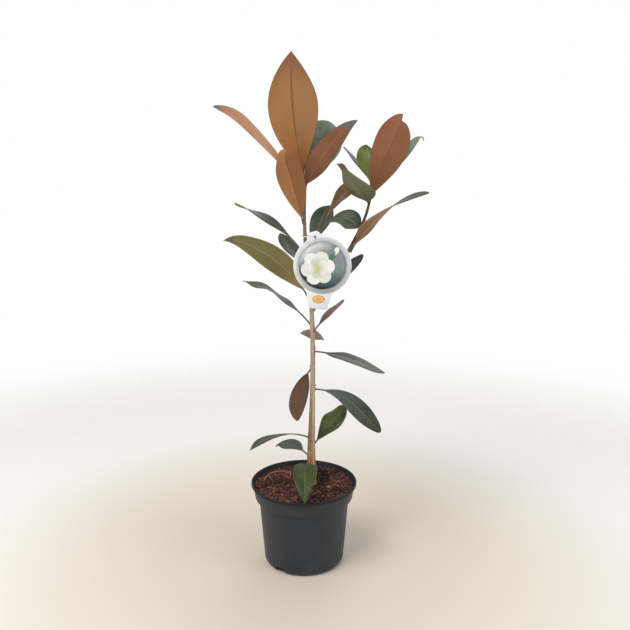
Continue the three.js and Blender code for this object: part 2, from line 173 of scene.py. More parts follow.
class Finish:  # one material, its shader and what feeds it
    def __init__(self, name, **values):
        self.material = bpy.data.materials.new(name)
        self.material.use_nodes = True
        self.tree = self.material.node_tree
        self.shader = self.tree.nodes["Principled BSDF"]
        for socket, value in values.items():
            self.feed(self.shader.inputs[socket.replace("_", " ")], value)

    def feed(self, socket, value):
        if isinstance(value, Wire):
            self.tree.links.new(value.socket, socket)
        elif isinstance(value, tuple) and len(value) == 3 and socket.type == "RGBA":
            socket.default_value = (*value, 1)
        else:
            socket.default_value = value

    def add(self, kind, settings=None, inputs=None, output=0):
        node = self.tree.nodes.new(kind)
        for name, value in (settings or {}).items():
            setattr(node, name, value)
        for name, value in (inputs or {}).items():
            self.feed(node.inputs[name], value)
        return Wire(self, node.outputs[output])

    def place(self, kind="Object"):
        return self.add("ShaderNodeTexCoord", output=kind)

    def parts(self, vector):
        node = self.add("ShaderNodeSeparateXYZ", inputs={"Vector": vector}).socket.node
        return [Wire(self, out) for out in node.outputs]

    def stretched(self, vector, x, y, z):
        return self.add("ShaderNodeVectorMath", {"operation": "MULTIPLY"}, {0: vector, 1: (x, y, z)})

    def grain(self, vector, scale, detail=3.0, roughness=0.55, distortion=0.0):
        values = {"Scale": scale, "Detail": detail, "Roughness": roughness, "Distortion": distortion}
        return self.add("ShaderNodeTexNoise", inputs={"Vector": vector, **values}, output="Fac")

    def cells(self, vector, scale, feature="DISTANCE_TO_EDGE", output="Distance"):
        values = {"Vector": vector, "Scale": scale}
        return self.add("ShaderNodeTexVoronoi", {"feature": feature}, values, output)

    def blend(self, amount, first, second):  # colours
        return self.add("ShaderNodeMix", {"data_type": "RGBA"}, {0: amount, 6: first, 7: second}, 2)

    def layered(self, tone, *layers):  # each layer is a mask and its tone, or nothing
        for mask, over in filter(None, layers):
            tone = self.blend(mask, tone, over)
        return tone

    def done(self, tone, rough, height=None, distance=0.0, strength=0.5):
        self.feed(self.shader.inputs["Base Color"], tone)
        self.feed(self.shader.inputs["Roughness"], rough)
        if height is not None:
            bump = {"Height": height, "Distance": distance, "Strength": strength}
            self.feed(self.shader.inputs["Normal"], self.add("ShaderNodeBump", inputs=bump))
        return self.material


def shaded(colour, share):
    return tuple(min(1, share * part) for part in colour)


def addMesh(name, points, faces, materials, finishOf=None, maps=None, smooth=True):
    # points in mm; finishOf gives each face's place in materials; maps holds a UV for each point
    mesh = bpy.data.meshes.new(name)
    mesh.from_pydata((np.asarray(points, float) * mm).tolist(), [], [tuple(map(int, face)) for face in faces])
    for material in materials:
        mesh.materials.append(material)
    if finishOf is not None:
        mesh.polygons.foreach_set("material_index", np.asarray(finishOf, np.int32))
    if maps is not None:
        corners = np.zeros(len(mesh.loops), np.int32)
        mesh.loops.foreach_get("vertex_index", corners)
        spread = mesh.uv_layers.new(name="bladeMap")
        spread.data.foreach_set("uv", np.asarray(maps, np.float32)[corners].ravel())
    mesh.polygons.foreach_set("use_smooth", [smooth] * len(mesh.polygons))
    mesh.update()
    piece = bpy.data.objects.new(name, mesh)
    scene.collection.objects.link(piece)
    return piece


def allRound(count):
    return np.linspace(0, 2 * np.pi, count, endpoint=False)


def hoop(radius, height, count):  # a level ring about the pot's middle
    angles = allRound(count)
    return np.stack([radius * np.cos(angles), radius * np.sin(angles), np.full(count, height)], -1)


def ringAbout(middle, side, face, radius, angles):
    return middle + np.outer(np.cos(angles) * radius, side) + np.outer(np.sin(angles) * radius, face)


def squareTo(ahead, guide):  # two directions square to the one ahead
    side = np.cross(ahead, guide)
    side /= np.linalg.norm(side)
    return side, np.cross(ahead, side)


def ringFaces(rows, around):  # quads between rings that are each closed on themselves
    row, column = np.meshgrid(np.arange(rows - 1), np.arange(around), indexing="ij")
    here = row * around + column
    beside = row * around + (column + 1) % around
    return np.stack([here, beside, beside + around, here + around], -1).reshape(-1, 4).tolist()


def capFaces(ring, middle, flipped):
    faces = [(ring[i], ring[(i + 1) % len(ring)], middle) for i in range(len(ring))]
    return [face[::-1] for face in faces] if flipped else faces


def tube(rings):  # a closed mesh through rings of points, with a fan at each end
    rings = np.asarray(rings, float)
    rows, around = rings.shape[:2]
    points = np.concatenate([rings.reshape(-1, 3), rings[0].mean(0)[None], rings[-1].mean(0)[None]])
    faces = ringFaces(rows, around)
    faces += capFaces(list(range(around)), rows * around, True)
    faces += capFaces(list(range((rows - 1) * around, rows * around)), rows * around + 1, False)
    return points, faces


class Heap:  # many small closed shapes kept for one joined mesh
    def __init__(self):
        self.points, self.faces, self.finishOf, self.count = [], [], [], 0

    def add(self, points, faces, finish=0):
        self.points.append(np.asarray(points, float))
        self.faces += [tuple(corner + self.count for corner in face) for face in faces]
        self.finishOf += [finish] * len(faces)
        self.count += len(points)

    def piece(self, name, materials, smooth=True):
        return addMesh(name, np.concatenate(self.points), self.faces, materials, self.finishOf, smooth=smooth)


def cutOut(piece, cutter):
    cut = piece.modifiers.new("cut", "BOOLEAN")
    cut.operation = "DIFFERENCE"
    cut.object = cutter
    cut.solver = "EXACT"
    bpy.context.view_layer.objects.active = piece
    bpy.ops.object.modifier_apply(modifier=cut.name)
    bpy.data.objects.remove(cutter)


def finishPiece(piece, slot, *nodes):
    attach(piece, "root")
    if nodes:
        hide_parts(*nodes)


def turned(heading):
    angle = math.radians(heading)
    return np.array([math.cos(angle), math.sin(angle), 0.0])


def eased(low, high, value):
    share = np.clip((value - low) / (high - low), 0, 1)
    return share * share * (3 - 2 * share)


class Limb:  # a smooth curve through places, each with its radius
    def __init__(self, *places):
        self.places = [np.array(place[:3], float) for place in places]
        self.heights = [place[2] for place in places]
        self.radii = [place[3] for place in places]

    def at(self, share):
        spots = self.places
        spot = share * (len(spots) - 1)
        i = min(int(spot), len(spots) - 2)
        w = spot - i
        b, c = spots[i], spots[i + 1]
        a = spots[i - 1] if i > 0 else 2 * b - c
        d = spots[i + 2] if i + 2 < len(spots) else 2 * c - b
        ab, bc, cd = (math.sqrt(np.linalg.norm(q - p)) for p, q in ((a, b), (b, c), (c, d)))
        out = ((b - a) / ab - (c - a) / (ab + bc) + (c - b) / bc) * bc
        into = ((c - b) / bc - (d - b) / (bc + cd) + (d - c) / cd) * bc
        return b + out * w + (3 * (c - b) - 2 * out - into) * w * w + (2 * (b - c) + out + into) * w ** 3

    def ahead(self, share):
        low, high = max(0, share - 1e-4), min(1, share + 1e-4)
        way = self.at(high) - self.at(low)
        return way / np.linalg.norm(way)

    def radius(self, height):
        return float(np.interp(height, self.heights, self.radii))

    def shareAt(self, height):
        low, high = 0.0, 1.0
        for _ in range(30):
            middle = (low + high) / 2
            low, high = (middle, high) if self.at(middle)[2] < height else (low, middle)
        return low


# x, y, height and radius from the foot up
trunk = Limb(
    (10.8, 0, 129.5, 8.4), (11.4, -0.5, 145, 7.4), (12, -1, 190, 5.9), (14, 1, 280, 4), (14.5, 2, 350, 3.7),
    (12, 1, 430, 3.4), (4, -1, 510, 2.9), (2, 0, 560, 2.4), (3, 1, 598, 2.1),
)
bough = Limb((12, 1, 436, 3.1), (40, 3, 462, 2.9), (70, 8, 508, 2.5), (94, 12, 556, 2.1), (103, 14, 588, 1.9))
leaderShoot = Limb((3, 1, 598, 2.1), (3.4, 1.2, 610, 2.6), (3.6, 1.4, 622, 3), (3.6, 1.6, 640, 0.5))
boughShoot = Limb((103, 14, 588, 1.9), (106, 15, 600, 2), (108, 15.6, 614, 2.5), (108, 16, 630, 0.4))
fitGap = 0.3
print("limbs ready")


veins = {
    "pairs": 11,
    "reach": 0.13,  # how far up the blade a side vein runs, as a share of its length
    "bend": 0.07,  # and how much more of that near the margin
}
felt = {"Sheen_Weight": 0.35, "Sheen_Roughness": 0.5, "Sheen_Tint": (0.9, 0.75, 0.6)}
marginGreen = (0.10, 0.10, 0.05)
stalkTones = {"dark": (0.070, 0.060, 0.045), "light": (0.130, 0.105, 0.070)}
# Dark and light, or main and warm, lie in patches. Rib is on the midrib and the side veins, foot and
# tip are at the blade's ends, and half is painted light and shade on the half right of the midrib, seen
# from below: that half is made lighter or darker than the other, as light falls across the folded blade.
upperTints = {
    "darkGreen": dict(dark=(0.036, 0.055, 0.030), light=(0.062, 0.092, 0.046), rib=(0.15, 0.18, 0.085)),
    "greyGreen": dict(dark=(0.050, 0.062, 0.043), light=(0.086, 0.102, 0.070), rib=(0.19, 0.21, 0.13)),
    "midGreen": dict(
        dark=(0.027, 0.043, 0.009), light=(0.050, 0.072, 0.017), rib=(0.16, 0.21, 0.07),
        ribbed=0.5, veined=0.2),
    "glossGreen": dict(
        dark=(0.029, 0.046, 0.014), light=(0.076, 0.102, 0.027), rib=(0.17, 0.22, 0.06),
        foot=(0.035, 0.050, 0.020), ribbed=0.4, veined=0.3, shine=0.36, flecked=0.3),
    "slate": dict(
        dark=(0.037, 0.047, 0.031), light=(0.067, 0.081, 0.053), rib=(0.15, 0.17, 0.11),
        foot=(0.10, 0.108, 0.092), flecked=0.4),
    "smoke": dict(
        dark=(0.076, 0.087, 0.066), light=(0.125, 0.139, 0.109), rib=(0.17, 0.18, 0.13),
        foot=(0.020, 0.025, 0.019)),
    "shade": dict(
        dark=(0.038, 0.045, 0.035), light=(0.072, 0.082, 0.062), rib=(0.13, 0.14, 0.10),
        shine=0.58, flecked=0.6),
    "mist": dict(
        dark=(0.110, 0.131, 0.091), light=(0.195, 0.224, 0.164), rib=(0.24, 0.26, 0.18),
        ribbed=0.3, veined=0.12),
    "smokeTip": dict(
        dark=(0.074, 0.083, 0.065), light=(0.134, 0.147, 0.114), rib=(0.19, 0.195, 0.14),
        tip=(0.13, 0.110, 0.075), tipFrom=0.74),
    "brownTip": dict(
        dark=(0.038, 0.043, 0.034), light=(0.071, 0.078, 0.061), rib=(0.16, 0.165, 0.115),
        tip=(0.26, 0.16, 0.085), tipFrom=0.74),
    "freshGreen": dict(
        dark=(0.050, 0.085, 0.014), light=(0.160, 0.190, 0.042), rib=(0.25, 0.29, 0.09),
        foot=(0.105, 0.150, 0.025), tip=(0.07, 0.08, 0.03)),
    "olive": dict(
        dark=(0.060, 0.070, 0.032), light=(0.100, 0.112, 0.055), rib=(0.16, 0.16, 0.08),
        tip=(0.16, 0.095, 0.06), tipFrom=0.82),
}
underTints = {
    # bronze: its dark rib tone is a painted shadow along the raised midrib
    "bronze": dict(
        main=(0.310, 0.142, 0.046), warm=(0.345, 0.165, 0.056), rib=(0.13, 0.042, 0.018),
        half=(0.345, 0.168, 0.066), foot=(0.35, 0.115, 0.026), tip=(0.200, 0.092, 0.050),
        tipFrom=0.74, tipOver=0.3, ribbed=0.75, veined=0.05),
    "amber": dict(
        main=(0.365, 0.160, 0.060), warm=(0.400, 0.180, 0.070), rib=(0.16, 0.060, 0.025),
        half=(0.260, 0.108, 0.038), ribbed=0.65, veined=0.06),
    "rust": dict(
        main=(0.240, 0.098, 0.044), warm=(0.295, 0.126, 0.058), rib=(0.17, 0.060, 0.025),
        half=(0.260, 0.105, 0.048), foot=(0.26, 0.098, 0.036), ribbed=0.35, veined=0.05),
    "paleBronze": dict(
        main=(0.57, 0.270, 0.145), warm=(0.63, 0.33, 0.19), rib=(0.52, 0.28, 0.15),
        tip=(0.23, 0.21, 0.19), foot=(0.44, 0.18, 0.078)),
    "redBrown": dict(
        main=(0.265, 0.110, 0.048), warm=(0.335, 0.148, 0.068), rib=(0.44, 0.20, 0.12),
        foot=(0.21, 0.075, 0.036), tip=(0.21, 0.170, 0.170), tipFrom=0.80, ribbed=0.8),
    "umber": dict(main=(0.168, 0.097, 0.044), warm=(0.265, 0.140, 0.060), rib=(0.24, 0.12, 0.055)),
    "roseBrown": dict(main=(0.285, 0.172, 0.155), warm=(0.35, 0.215, 0.190), rib=(0.20, 0.10, 0.08)),
    "purpleBrown": dict(main=(0.150, 0.075, 0.055), warm=(0.200, 0.098, 0.072), rib=(0.12, 0.06, 0.045)),
    "plum": dict(main=(0.128, 0.062, 0.060), warm=(0.175, 0.084, 0.080), rib=(0.09, 0.04, 0.035)),
    "russet": dict(
        main=(0.185, 0.098, 0.067), warm=(0.250, 0.132, 0.087), rib=(0.13, 0.06, 0.04),
        foot=(0.13, 0.065, 0.05)),
    "tan": dict(
        main=(0.230, 0.112, 0.045), warm=(0.300, 0.150, 0.062), rib=(0.28, 0.18, 0.08),
        foot=(0.19, 0.105, 0.038)),
    "tipTan": dict(main=(0.25, 0.155, 0.085), warm=(0.31, 0.20, 0.12), rib=(0.17, 0.10, 0.055)),
    "oliveBronze": dict(
        main=(0.125, 0.128, 0.040), warm=(0.180, 0.140, 0.050), rib=(0.34, 0.27, 0.13),
        foot=(0.30, 0.195, 0.073), tip=(0.12, 0.10, 0.06), tipFrom=0.88, ribbed=0.7),
    "oliveGreen": dict(
        main=(0.115, 0.128, 0.055), warm=(0.180, 0.185, 0.092), rib=(0.20, 0.19, 0.09),
        tip=(0.17, 0.10, 0.065), tipFrom=0.84),
}


def veinPlace(finish):
    # wires across and along a blade from its map: 0 at the midrib, 1 at the margin or tip
    u, v, _ = finish.parts(finish.place("UV"))
    signed = u * 2 - 1
    across = abs(signed)
    wide = 4 * v * (1 - v)
    lead = (across * veins["reach"] + across * across * veins["bend"]) * wide
    count = (v - lead) * veins["pairs"] + signed.above(0) * 0.5
    away = abs(count.fraction() - 0.5)  # 0 on a vein, 0.5 midway
    return across, v, away


def burntTip(finish, along, place, first, over=0.07):
    return (along + finish.grain(place, 160, 2) * 0.08).between(first, first + over)


def leafUpper(
    name, dark, light, rib, foot=None, tip=None, tipFrom=0.93, shine=0.42, ribbed=0.8, veined=0.3, flecked=0,
):
    finish = Finish(name, Specular_IOR_Level=0.3)
    across, along, away = veinPlace(finish)
    place = finish.place()
    patches = finish.grain(place, 45, 3)
    mottle = finish.grain(place, 330, 3, 0.7)
    speckle = finish.grain(place, 900, 2)
    net = finish.cells(place, 700)
    midrib = (across * (1.6 - along)).between(0.06, 0.015)
    sideVein = away.between(0.10, 0.0) * across.between(1.0, 0.55)
    tone = finish.layered(
        finish.blend(patches.between(0.32, 0.68), dark, light),
        foot and ((along + patches * 0.3).between(0.75, 0.2), foot),
        (sideVein * veined, rib),
        (away.between(0.2, 0.5) * 0.15, light),
        (midrib * ribbed, rib),
        (across.between(0.93, 0.99) * 0.45, rib),  # the pale margin
        tip and (burntTip(finish, along, place, tipFrom), tip),
        (speckle.between(0.4, 0.7) * 0.12, dark),
        (mottle.between(0.50, 0.36) * 0.3, shaded(dark, 0.6)),
        flecked and (mottle.between(0.55, 0.66) * flecked, rib),
    )
    rough = patches.between(0.3, 0.7, shine, shine + 0.12) + speckle * 0.06
    height = net.between(0.0, 0.12) * 0.12 - sideVein * 0.5 + speckle * 0.1
    return finish.done(tone, rough, height, 0.00018)


def leafUnder(
    name, main, warm, rib, half=None, foot=None, tip=None, tipFrom=0.93, tipOver=0.07,
    ribbed=0.45, veined=0.1,
):
    finish = Finish(name, Specular_IOR_Level=0.25, **felt)
    across, along, away = veinPlace(finish)
    aside = finish.parts(finish.place("UV"))[0]
    place = finish.place()
    patches = finish.grain(place, 30, 4)
    fibres = finish.grain(place, 1400, 3, 0.7)
    midrib = (across * (1.5 - along)).between(0.045, 0.012)
    sideVein = away.between(0.09, 0.0) * across.between(1.0, 0.5)
    tone = finish.layered(
        finish.blend(patches.between(0.3, 0.7), main, warm),
        # painted light and shade: one half of the blade lighter or darker than the other, as light falls
        # across the fold
        half and (aside.between(0.52, 0.48) * 0.9, half),
        foot and ((along + patches * 0.2).between(0.55, 0.1) * 0.85, foot),
        (sideVein * veined, rib),
        (midrib * ribbed, rib),
        tip and (burntTip(finish, along, place, tipFrom, tipOver), tip),
        (fibres.between(0.35, 0.75) * 0.22, shaded(main, 0.55)),
        (across.between(0.95, 1.0) * 0.6, marginGreen),
    )
    return finish.done(tone, 0.78 + fibres * 0.15, fibres * 0.6 + sideVein * 0.4, 0.0003)


def stalkFinish():
    finish = Finish("stalk", Specular_IOR_Level=0.4)
    place = finish.place()
    patches = finish.grain(place, 120, 3)
    tone = finish.blend(patches.between(0.3, 0.7), stalkTones["dark"], stalkTones["light"])
    return finish.done(tone, patches.between(0.2, 0.8, 0.5, 0.7), finish.grain(place, 1600, 2), 0.0002)


uppers = {name: leafUpper(name, **tint) for name, tint in upperTints.items()}
unders = {name: leafUnder(name, **tint) for name, tint in underTints.items()}
stalkMaterial = stalkFinish()
print("leaf finishes ready")


plainLeaf = dict(
    stalk=14, sag=0, swing=0, curl=0, curlFrom=0.75, roll=0, twist=0, fold=10, wave=0, widest=0.5,
    neck=1.3, tipShape=0.8, short=0, blunt=0,
)


def newLeaf(**own):
    return {**plainLeaf, **own}


trunkLeaves = {
    "leaf_01": newLeaf(
        at=159, heading=258, climb=50, sag=-110, swing=15, length=111.3, width=38, stalk=12, fold=15,
        tipShape=0.95, tints=("midGreen", "oliveBronze")),
    "leaf_02": newLeaf(
        at=176, heading=130, climb=18, sag=-46, length=80, width=29, stalk=11, roll=-18, twist=68,
        widest=0.4, neck=1.5, tipShape=1.4, blunt=0.18, curl=-20, tints=("shade", "oliveGreen")),
    "leaf_03": newLeaf(
        at=196, heading=43, climb=37, sag=-8, length=77, width=39, stalk=8, roll=-20, twist=20, wave=3,
        widest=0.68, neck=1, tipShape=0.5, curl=45, tints=("glossGreen", "oliveBronze")),
    "leaf_04": newLeaf(
        at=210, heading=213, climb=29, sag=-50, swing=8, length=102, width=25, roll=-8, widest=0.7,
        neck=1.8, curl=-12, tints=("slate", "purpleBrown")),
    "leaf_05": newLeaf(
        at=288, heading=15, climb=-7, sag=-72, swing=-8, length=127, width=31, roll=-10, twist=-100,
        neck=0.9, tipShape=0.5, curl=28, curlFrom=0.4, tints=("slate", "redBrown")),
    "leaf_06": newLeaf(
        at=319, heading=141, climb=-50, sag=-40, swing=-42, length=96, width=39, stalk=8, roll=-41,
        twist=86, widest=0.66, neck=0.9, tipShape=0.6, curl=8, tints=("darkGreen", "russet")),
    "leaf_07": newLeaf(
        at=350, heading=325, climb=5, sag=-27, length=113, width=30, roll=-6, widest=0.34, neck=1.6,
        tipShape=0.5, curl=16, tints=("smoke", "purpleBrown")),
    "leaf_08": newLeaf(
        at=376, heading=82, climb=15, sag=-70, swing=16, length=74, width=45, stalk=12, roll=-17,
        fold=-25, widest=0.43, neck=1.4, curl=10, tints=("darkGreen", "roseBrown")),
    "leaf_09": newLeaf(
        at=384, heading=307, climb=45, sag=-20, swing=-18, length=92, width=24, roll=9, twist=-32,
        widest=0.62, neck=1.2, tipShape=0.5, curl=10, tints=("darkGreen", "plum")),
    "leaf_10": newLeaf(
        at=394, heading=146, climb=42, sag=-33, swing=7, length=127, width=34, stalk=15, roll=-8, twist=8,
        wave=5, widest=0.53, neck=2.4, tipShape=1.2, curl=-6, curlFrom=0.7, tints=("smokeTip", "tipTan")),
    "leaf_11": newLeaf(
        at=415, heading=35, climb=46, sag=-15, swing=6, length=112, width=36, stalk=18, roll=8, twist=-10,
        widest=0.6, neck=1.8, tipShape=0.6, tints=("shade", "redBrown")),
    "leaf_12": newLeaf(
        at=438, heading=192, climb=60, sag=-50, swing=-36, length=153, width=40, roll=-50, twist=-63,
        fold=12, wave=3, widest=0.3, neck=0.9, tipShape=0.85, curl=-25,
        tints=("darkGreen", "oliveBronze")),
    "leaf_13": newLeaf(
        at=479, heading=116, climb=26, length=98, width=31, stalk=12, roll=-17, twist=28, tipShape=0.6,
        tints=("slate", "redBrown")),
    "leaf_14": newLeaf(
        at=492, heading=6, climb=74, sag=-15, swing=-22, length=94, width=38, stalk=25, roll=-4,
        twist=-50, widest=0.8, neck=8, tipShape=0.62, curl=-124, curlFrom=0.3,
        tints=("greyGreen", "redBrown")),
    "leaf_15": newLeaf(
        at=498, heading=24, climb=73, sag=-30, swing=-12, length=109, width=49, stalk=25, roll=34,
        twist=2, widest=0.8, neck=5.8, tipShape=0.84, blunt=0.19, curl=-55, tints=("darkGreen", "umber")),
    "leaf_16": newLeaf(
        at=502, heading=141, climb=48, sag=-40, swing=12, length=139, width=31, stalk=15, roll=68,
        twist=-98, widest=0.72, neck=2.7, tipShape=0.48, blunt=0.6, curl=8, curlFrom=0.6,
        tints=("brownTip", "tipTan")),
    "leaf_17": newLeaf(
        at=505, heading=56, climb=54, sag=-10, length=80, width=35, stalk=18, roll=-10, twist=-6,
        widest=0.6, neck=1, curl=-35, tints=("greyGreen", "redBrown")),
    "leaf_18": newLeaf(
        at=551, heading=235, climb=67, sag=-3, swing=-4, length=108, width=40, stalk=8, roll=-15,
        twist=-46, widest=0.64, neck=0.9, tipShape=0.52, blunt=0.4, curl=97, curlFrom=0.88,
        tints=("darkGreen", "amber")),
}
boughLeaves = {
    "leaf_19": newLeaf(
        at=508, heading=343, climb=63, sag=-51, swing=-16, length=150, width=40, stalk=8, roll=41,
        twist=-79, widest=0.28, neck=2, tipShape=0.63, curl=-11, curlFrom=0.83,
        tints=("greyGreen", "tan")),
    "leaf_20": newLeaf(
        at=579, heading=241, climb=30, sag=22, swing=-30, length=89, width=52, stalk=6, roll=4, twist=-11,
        widest=0.31, neck=1, tipShape=1.6, blunt=0.26, curl=-75, curlFrom=0.9,
        tints=("olive", "oliveGreen")),
}
leaderWhorl = {
    "leaderTall": newLeaf(
        at=610, heading=201, climb=75, sag=17, swing=-3, length=177, width=76, stalk=12, roll=-71,
        twist=6, fold=14, widest=0.56, neck=1.2, tipShape=0.92, tints=("darkGreen", "bronze")),
    "leaderLeft": newLeaf(
        at=602, heading=167, climb=48, sag=-6, swing=3, length=174, width=40, stalk=15, roll=-30, fold=8,
        widest=0.64, neck=1, tipShape=0.7, curl=-34, curlFrom=0.66, tints=("darkGreen", "paleBronze")),
    "leaderRight": newLeaf(
        at=603, heading=324, climb=60, sag=-27, swing=-8, length=132, width=38, stalk=6, roll=34,
        twist=-11, widest=0.33, neck=0.9, tipShape=0.72, curl=-24, tints=("darkGreen", "redBrown")),
    "leaderBack": newLeaf(
        at=600, heading=62, climb=65, sag=-30, swing=6, length=127, width=76, stalk=12, roll=-8,
        twist=-15, neck=1.15, tipShape=0.5, tints=("mist", "redBrown")),
}
boughWhorl = {
    "boughTall": newLeaf(
        at=590, heading=321, climb=69, sag=-11, swing=1, length=129, width=55, stalk=2, roll=64, twist=17,
        fold=8, widest=0.67, neck=0.95, tipShape=0.45, short=0.08, curl=23, curlFrom=0.72,
        tints=("darkGreen", "rust")),
    "boughFresh": newLeaf(
        at=608, heading=98, climb=53, sag=-10, length=73, width=46, stalk=8, twist=-18, widest=0.46,
        neck=0.95, tipShape=0.6, tints=("freshGreen", "oliveBronze")),
    "boughBack": newLeaf(
        at=604, heading=108, climb=35, sag=-3, swing=16, length=102, width=29, stalk=10, roll=-34,
        twist=10, fold=5, tipShape=0.5, tints=("darkGreen", "purpleBrown")),
    "boughRight": newLeaf(
        at=602, heading=35, climb=44, sag=-8, length=124, width=32, stalk=12, roll=-7, fold=5,
        widest=0.44, neck=1.05, tipShape=1, curl=-110, curlFrom=0.85, tints=("mist", "purpleBrown")),
}
seenFromBelow = ("leaderTall", "leaderLeft", "leaderRight", "boughTall")
blade = {
    "across": 33,  # points from margin to margin, on each side
    "crowding": 0.92,  # of those points toward the margins
    "rows": 112,
    "sunk": 1.6,  # how far a stalk starts inside its limb
    "stalkRadius": 1.2,
    "stalkTaper": 0.4,
    "baseRadius": 2.0,  # where the stalk joins its limb
    "baseLength": 2.2,  # how soon that swelling is gone
    "flatAt": 0.35,  # share of the full width at which the stalk has turned into a flat blade
    "sheet": 0.24,  # half the thickness of the blade
    "rib": 1.0,  # how far the midrib stands out below
    "ribWidth": (0.55, 0.75),  # at the tip, and what the foot adds
    "ribFade": (1.4, 0.6),  # toward the tip
    "groove": 0.35,
    "quilt": 0.22,  # how far the blade swells between the side veins
    "quiltShares": (0.9, 0.5),  # of that above and below
    "margin": 0.06,  # share of the half width that thins out
    "marginSheet": 0.35,  # share of the thickness that is left there
    "turnDown": 0.09,  # of the margin, as a share of the half width
    "waver": 0.9,  # uneven lift of the margin
    "wavers": 3.2,  # how often it comes on a blade
    "tip": 0.8,
    "bluntFrom": 0.93,  # share of the blade where a blunt tip starts to round off
    "bluntOver": 0.07,
    "trim": 1.2,  # off the length, to end within the plain blade's thick tip
}


def facing(leaf, u):
    curled = max(0.0, (u - leaf["curlFrom"]) / (1 - leaf["curlFrom"])) ** 1.5
    heading = math.radians(leaf["heading"] + leaf["swing"] * u)
    climb = math.radians(leaf["climb"] + leaf["sag"] * u + leaf["curl"] * curled)
    level = math.cos(climb)
    ahead = np.array([math.cos(heading) * level, math.sin(heading) * level, math.sin(climb)])
    side = np.array([math.sin(heading), -math.cos(heading), 0.0])
    roll = -math.radians(leaf["roll"] + leaf["twist"] * u)
    side = side * math.cos(roll) + np.cross(ahead, side) * math.sin(roll)
    return ahead, side, np.cross(side, ahead)


def outline(leaf, t):  # the half width at a share of the blade's length, 1 at its widest
    if t <= 0:
        return 0.0
    if t < leaf["widest"]:
        return math.sin(math.pi / 2 * t / leaf["widest"]) ** leaf["neck"]
    toTip = min(1.0, (t - leaf["widest"]) / (1 - leaf["widest"]))
    rounding = max(0.0, (t - blade["bluntFrom"]) / blade["bluntOver"])
    end = leaf["blunt"] * math.sqrt(max(0.0, 1 - rounding ** 2))
    return max(end, max(0.0, math.cos(math.pi / 2 * toTip)) ** leaf["tipShape"])


def offBark(limb, leaf):
    share = limb.shareAt(leaf["at"])
    along = limb.ahead(share)
    ahead = facing(leaf, 0)[0]
    out = turned(leaf["heading"])
    out = out - along * out.dot(along)
    out /= np.linalg.norm(out)
    clear = limb.radius(leaf["at"]) + fitGap + blade["stalkRadius"] * abs(ahead.dot(along))
    return limb.at(share) + out * clear


def marginWaver(across, t, seed):
    first, second = (noise.noise(Vector((t * blade["wavers"], *at))) for at in ((seed, 0), (0, seed)))
    return first * (across > 0) + second * (across < 0)


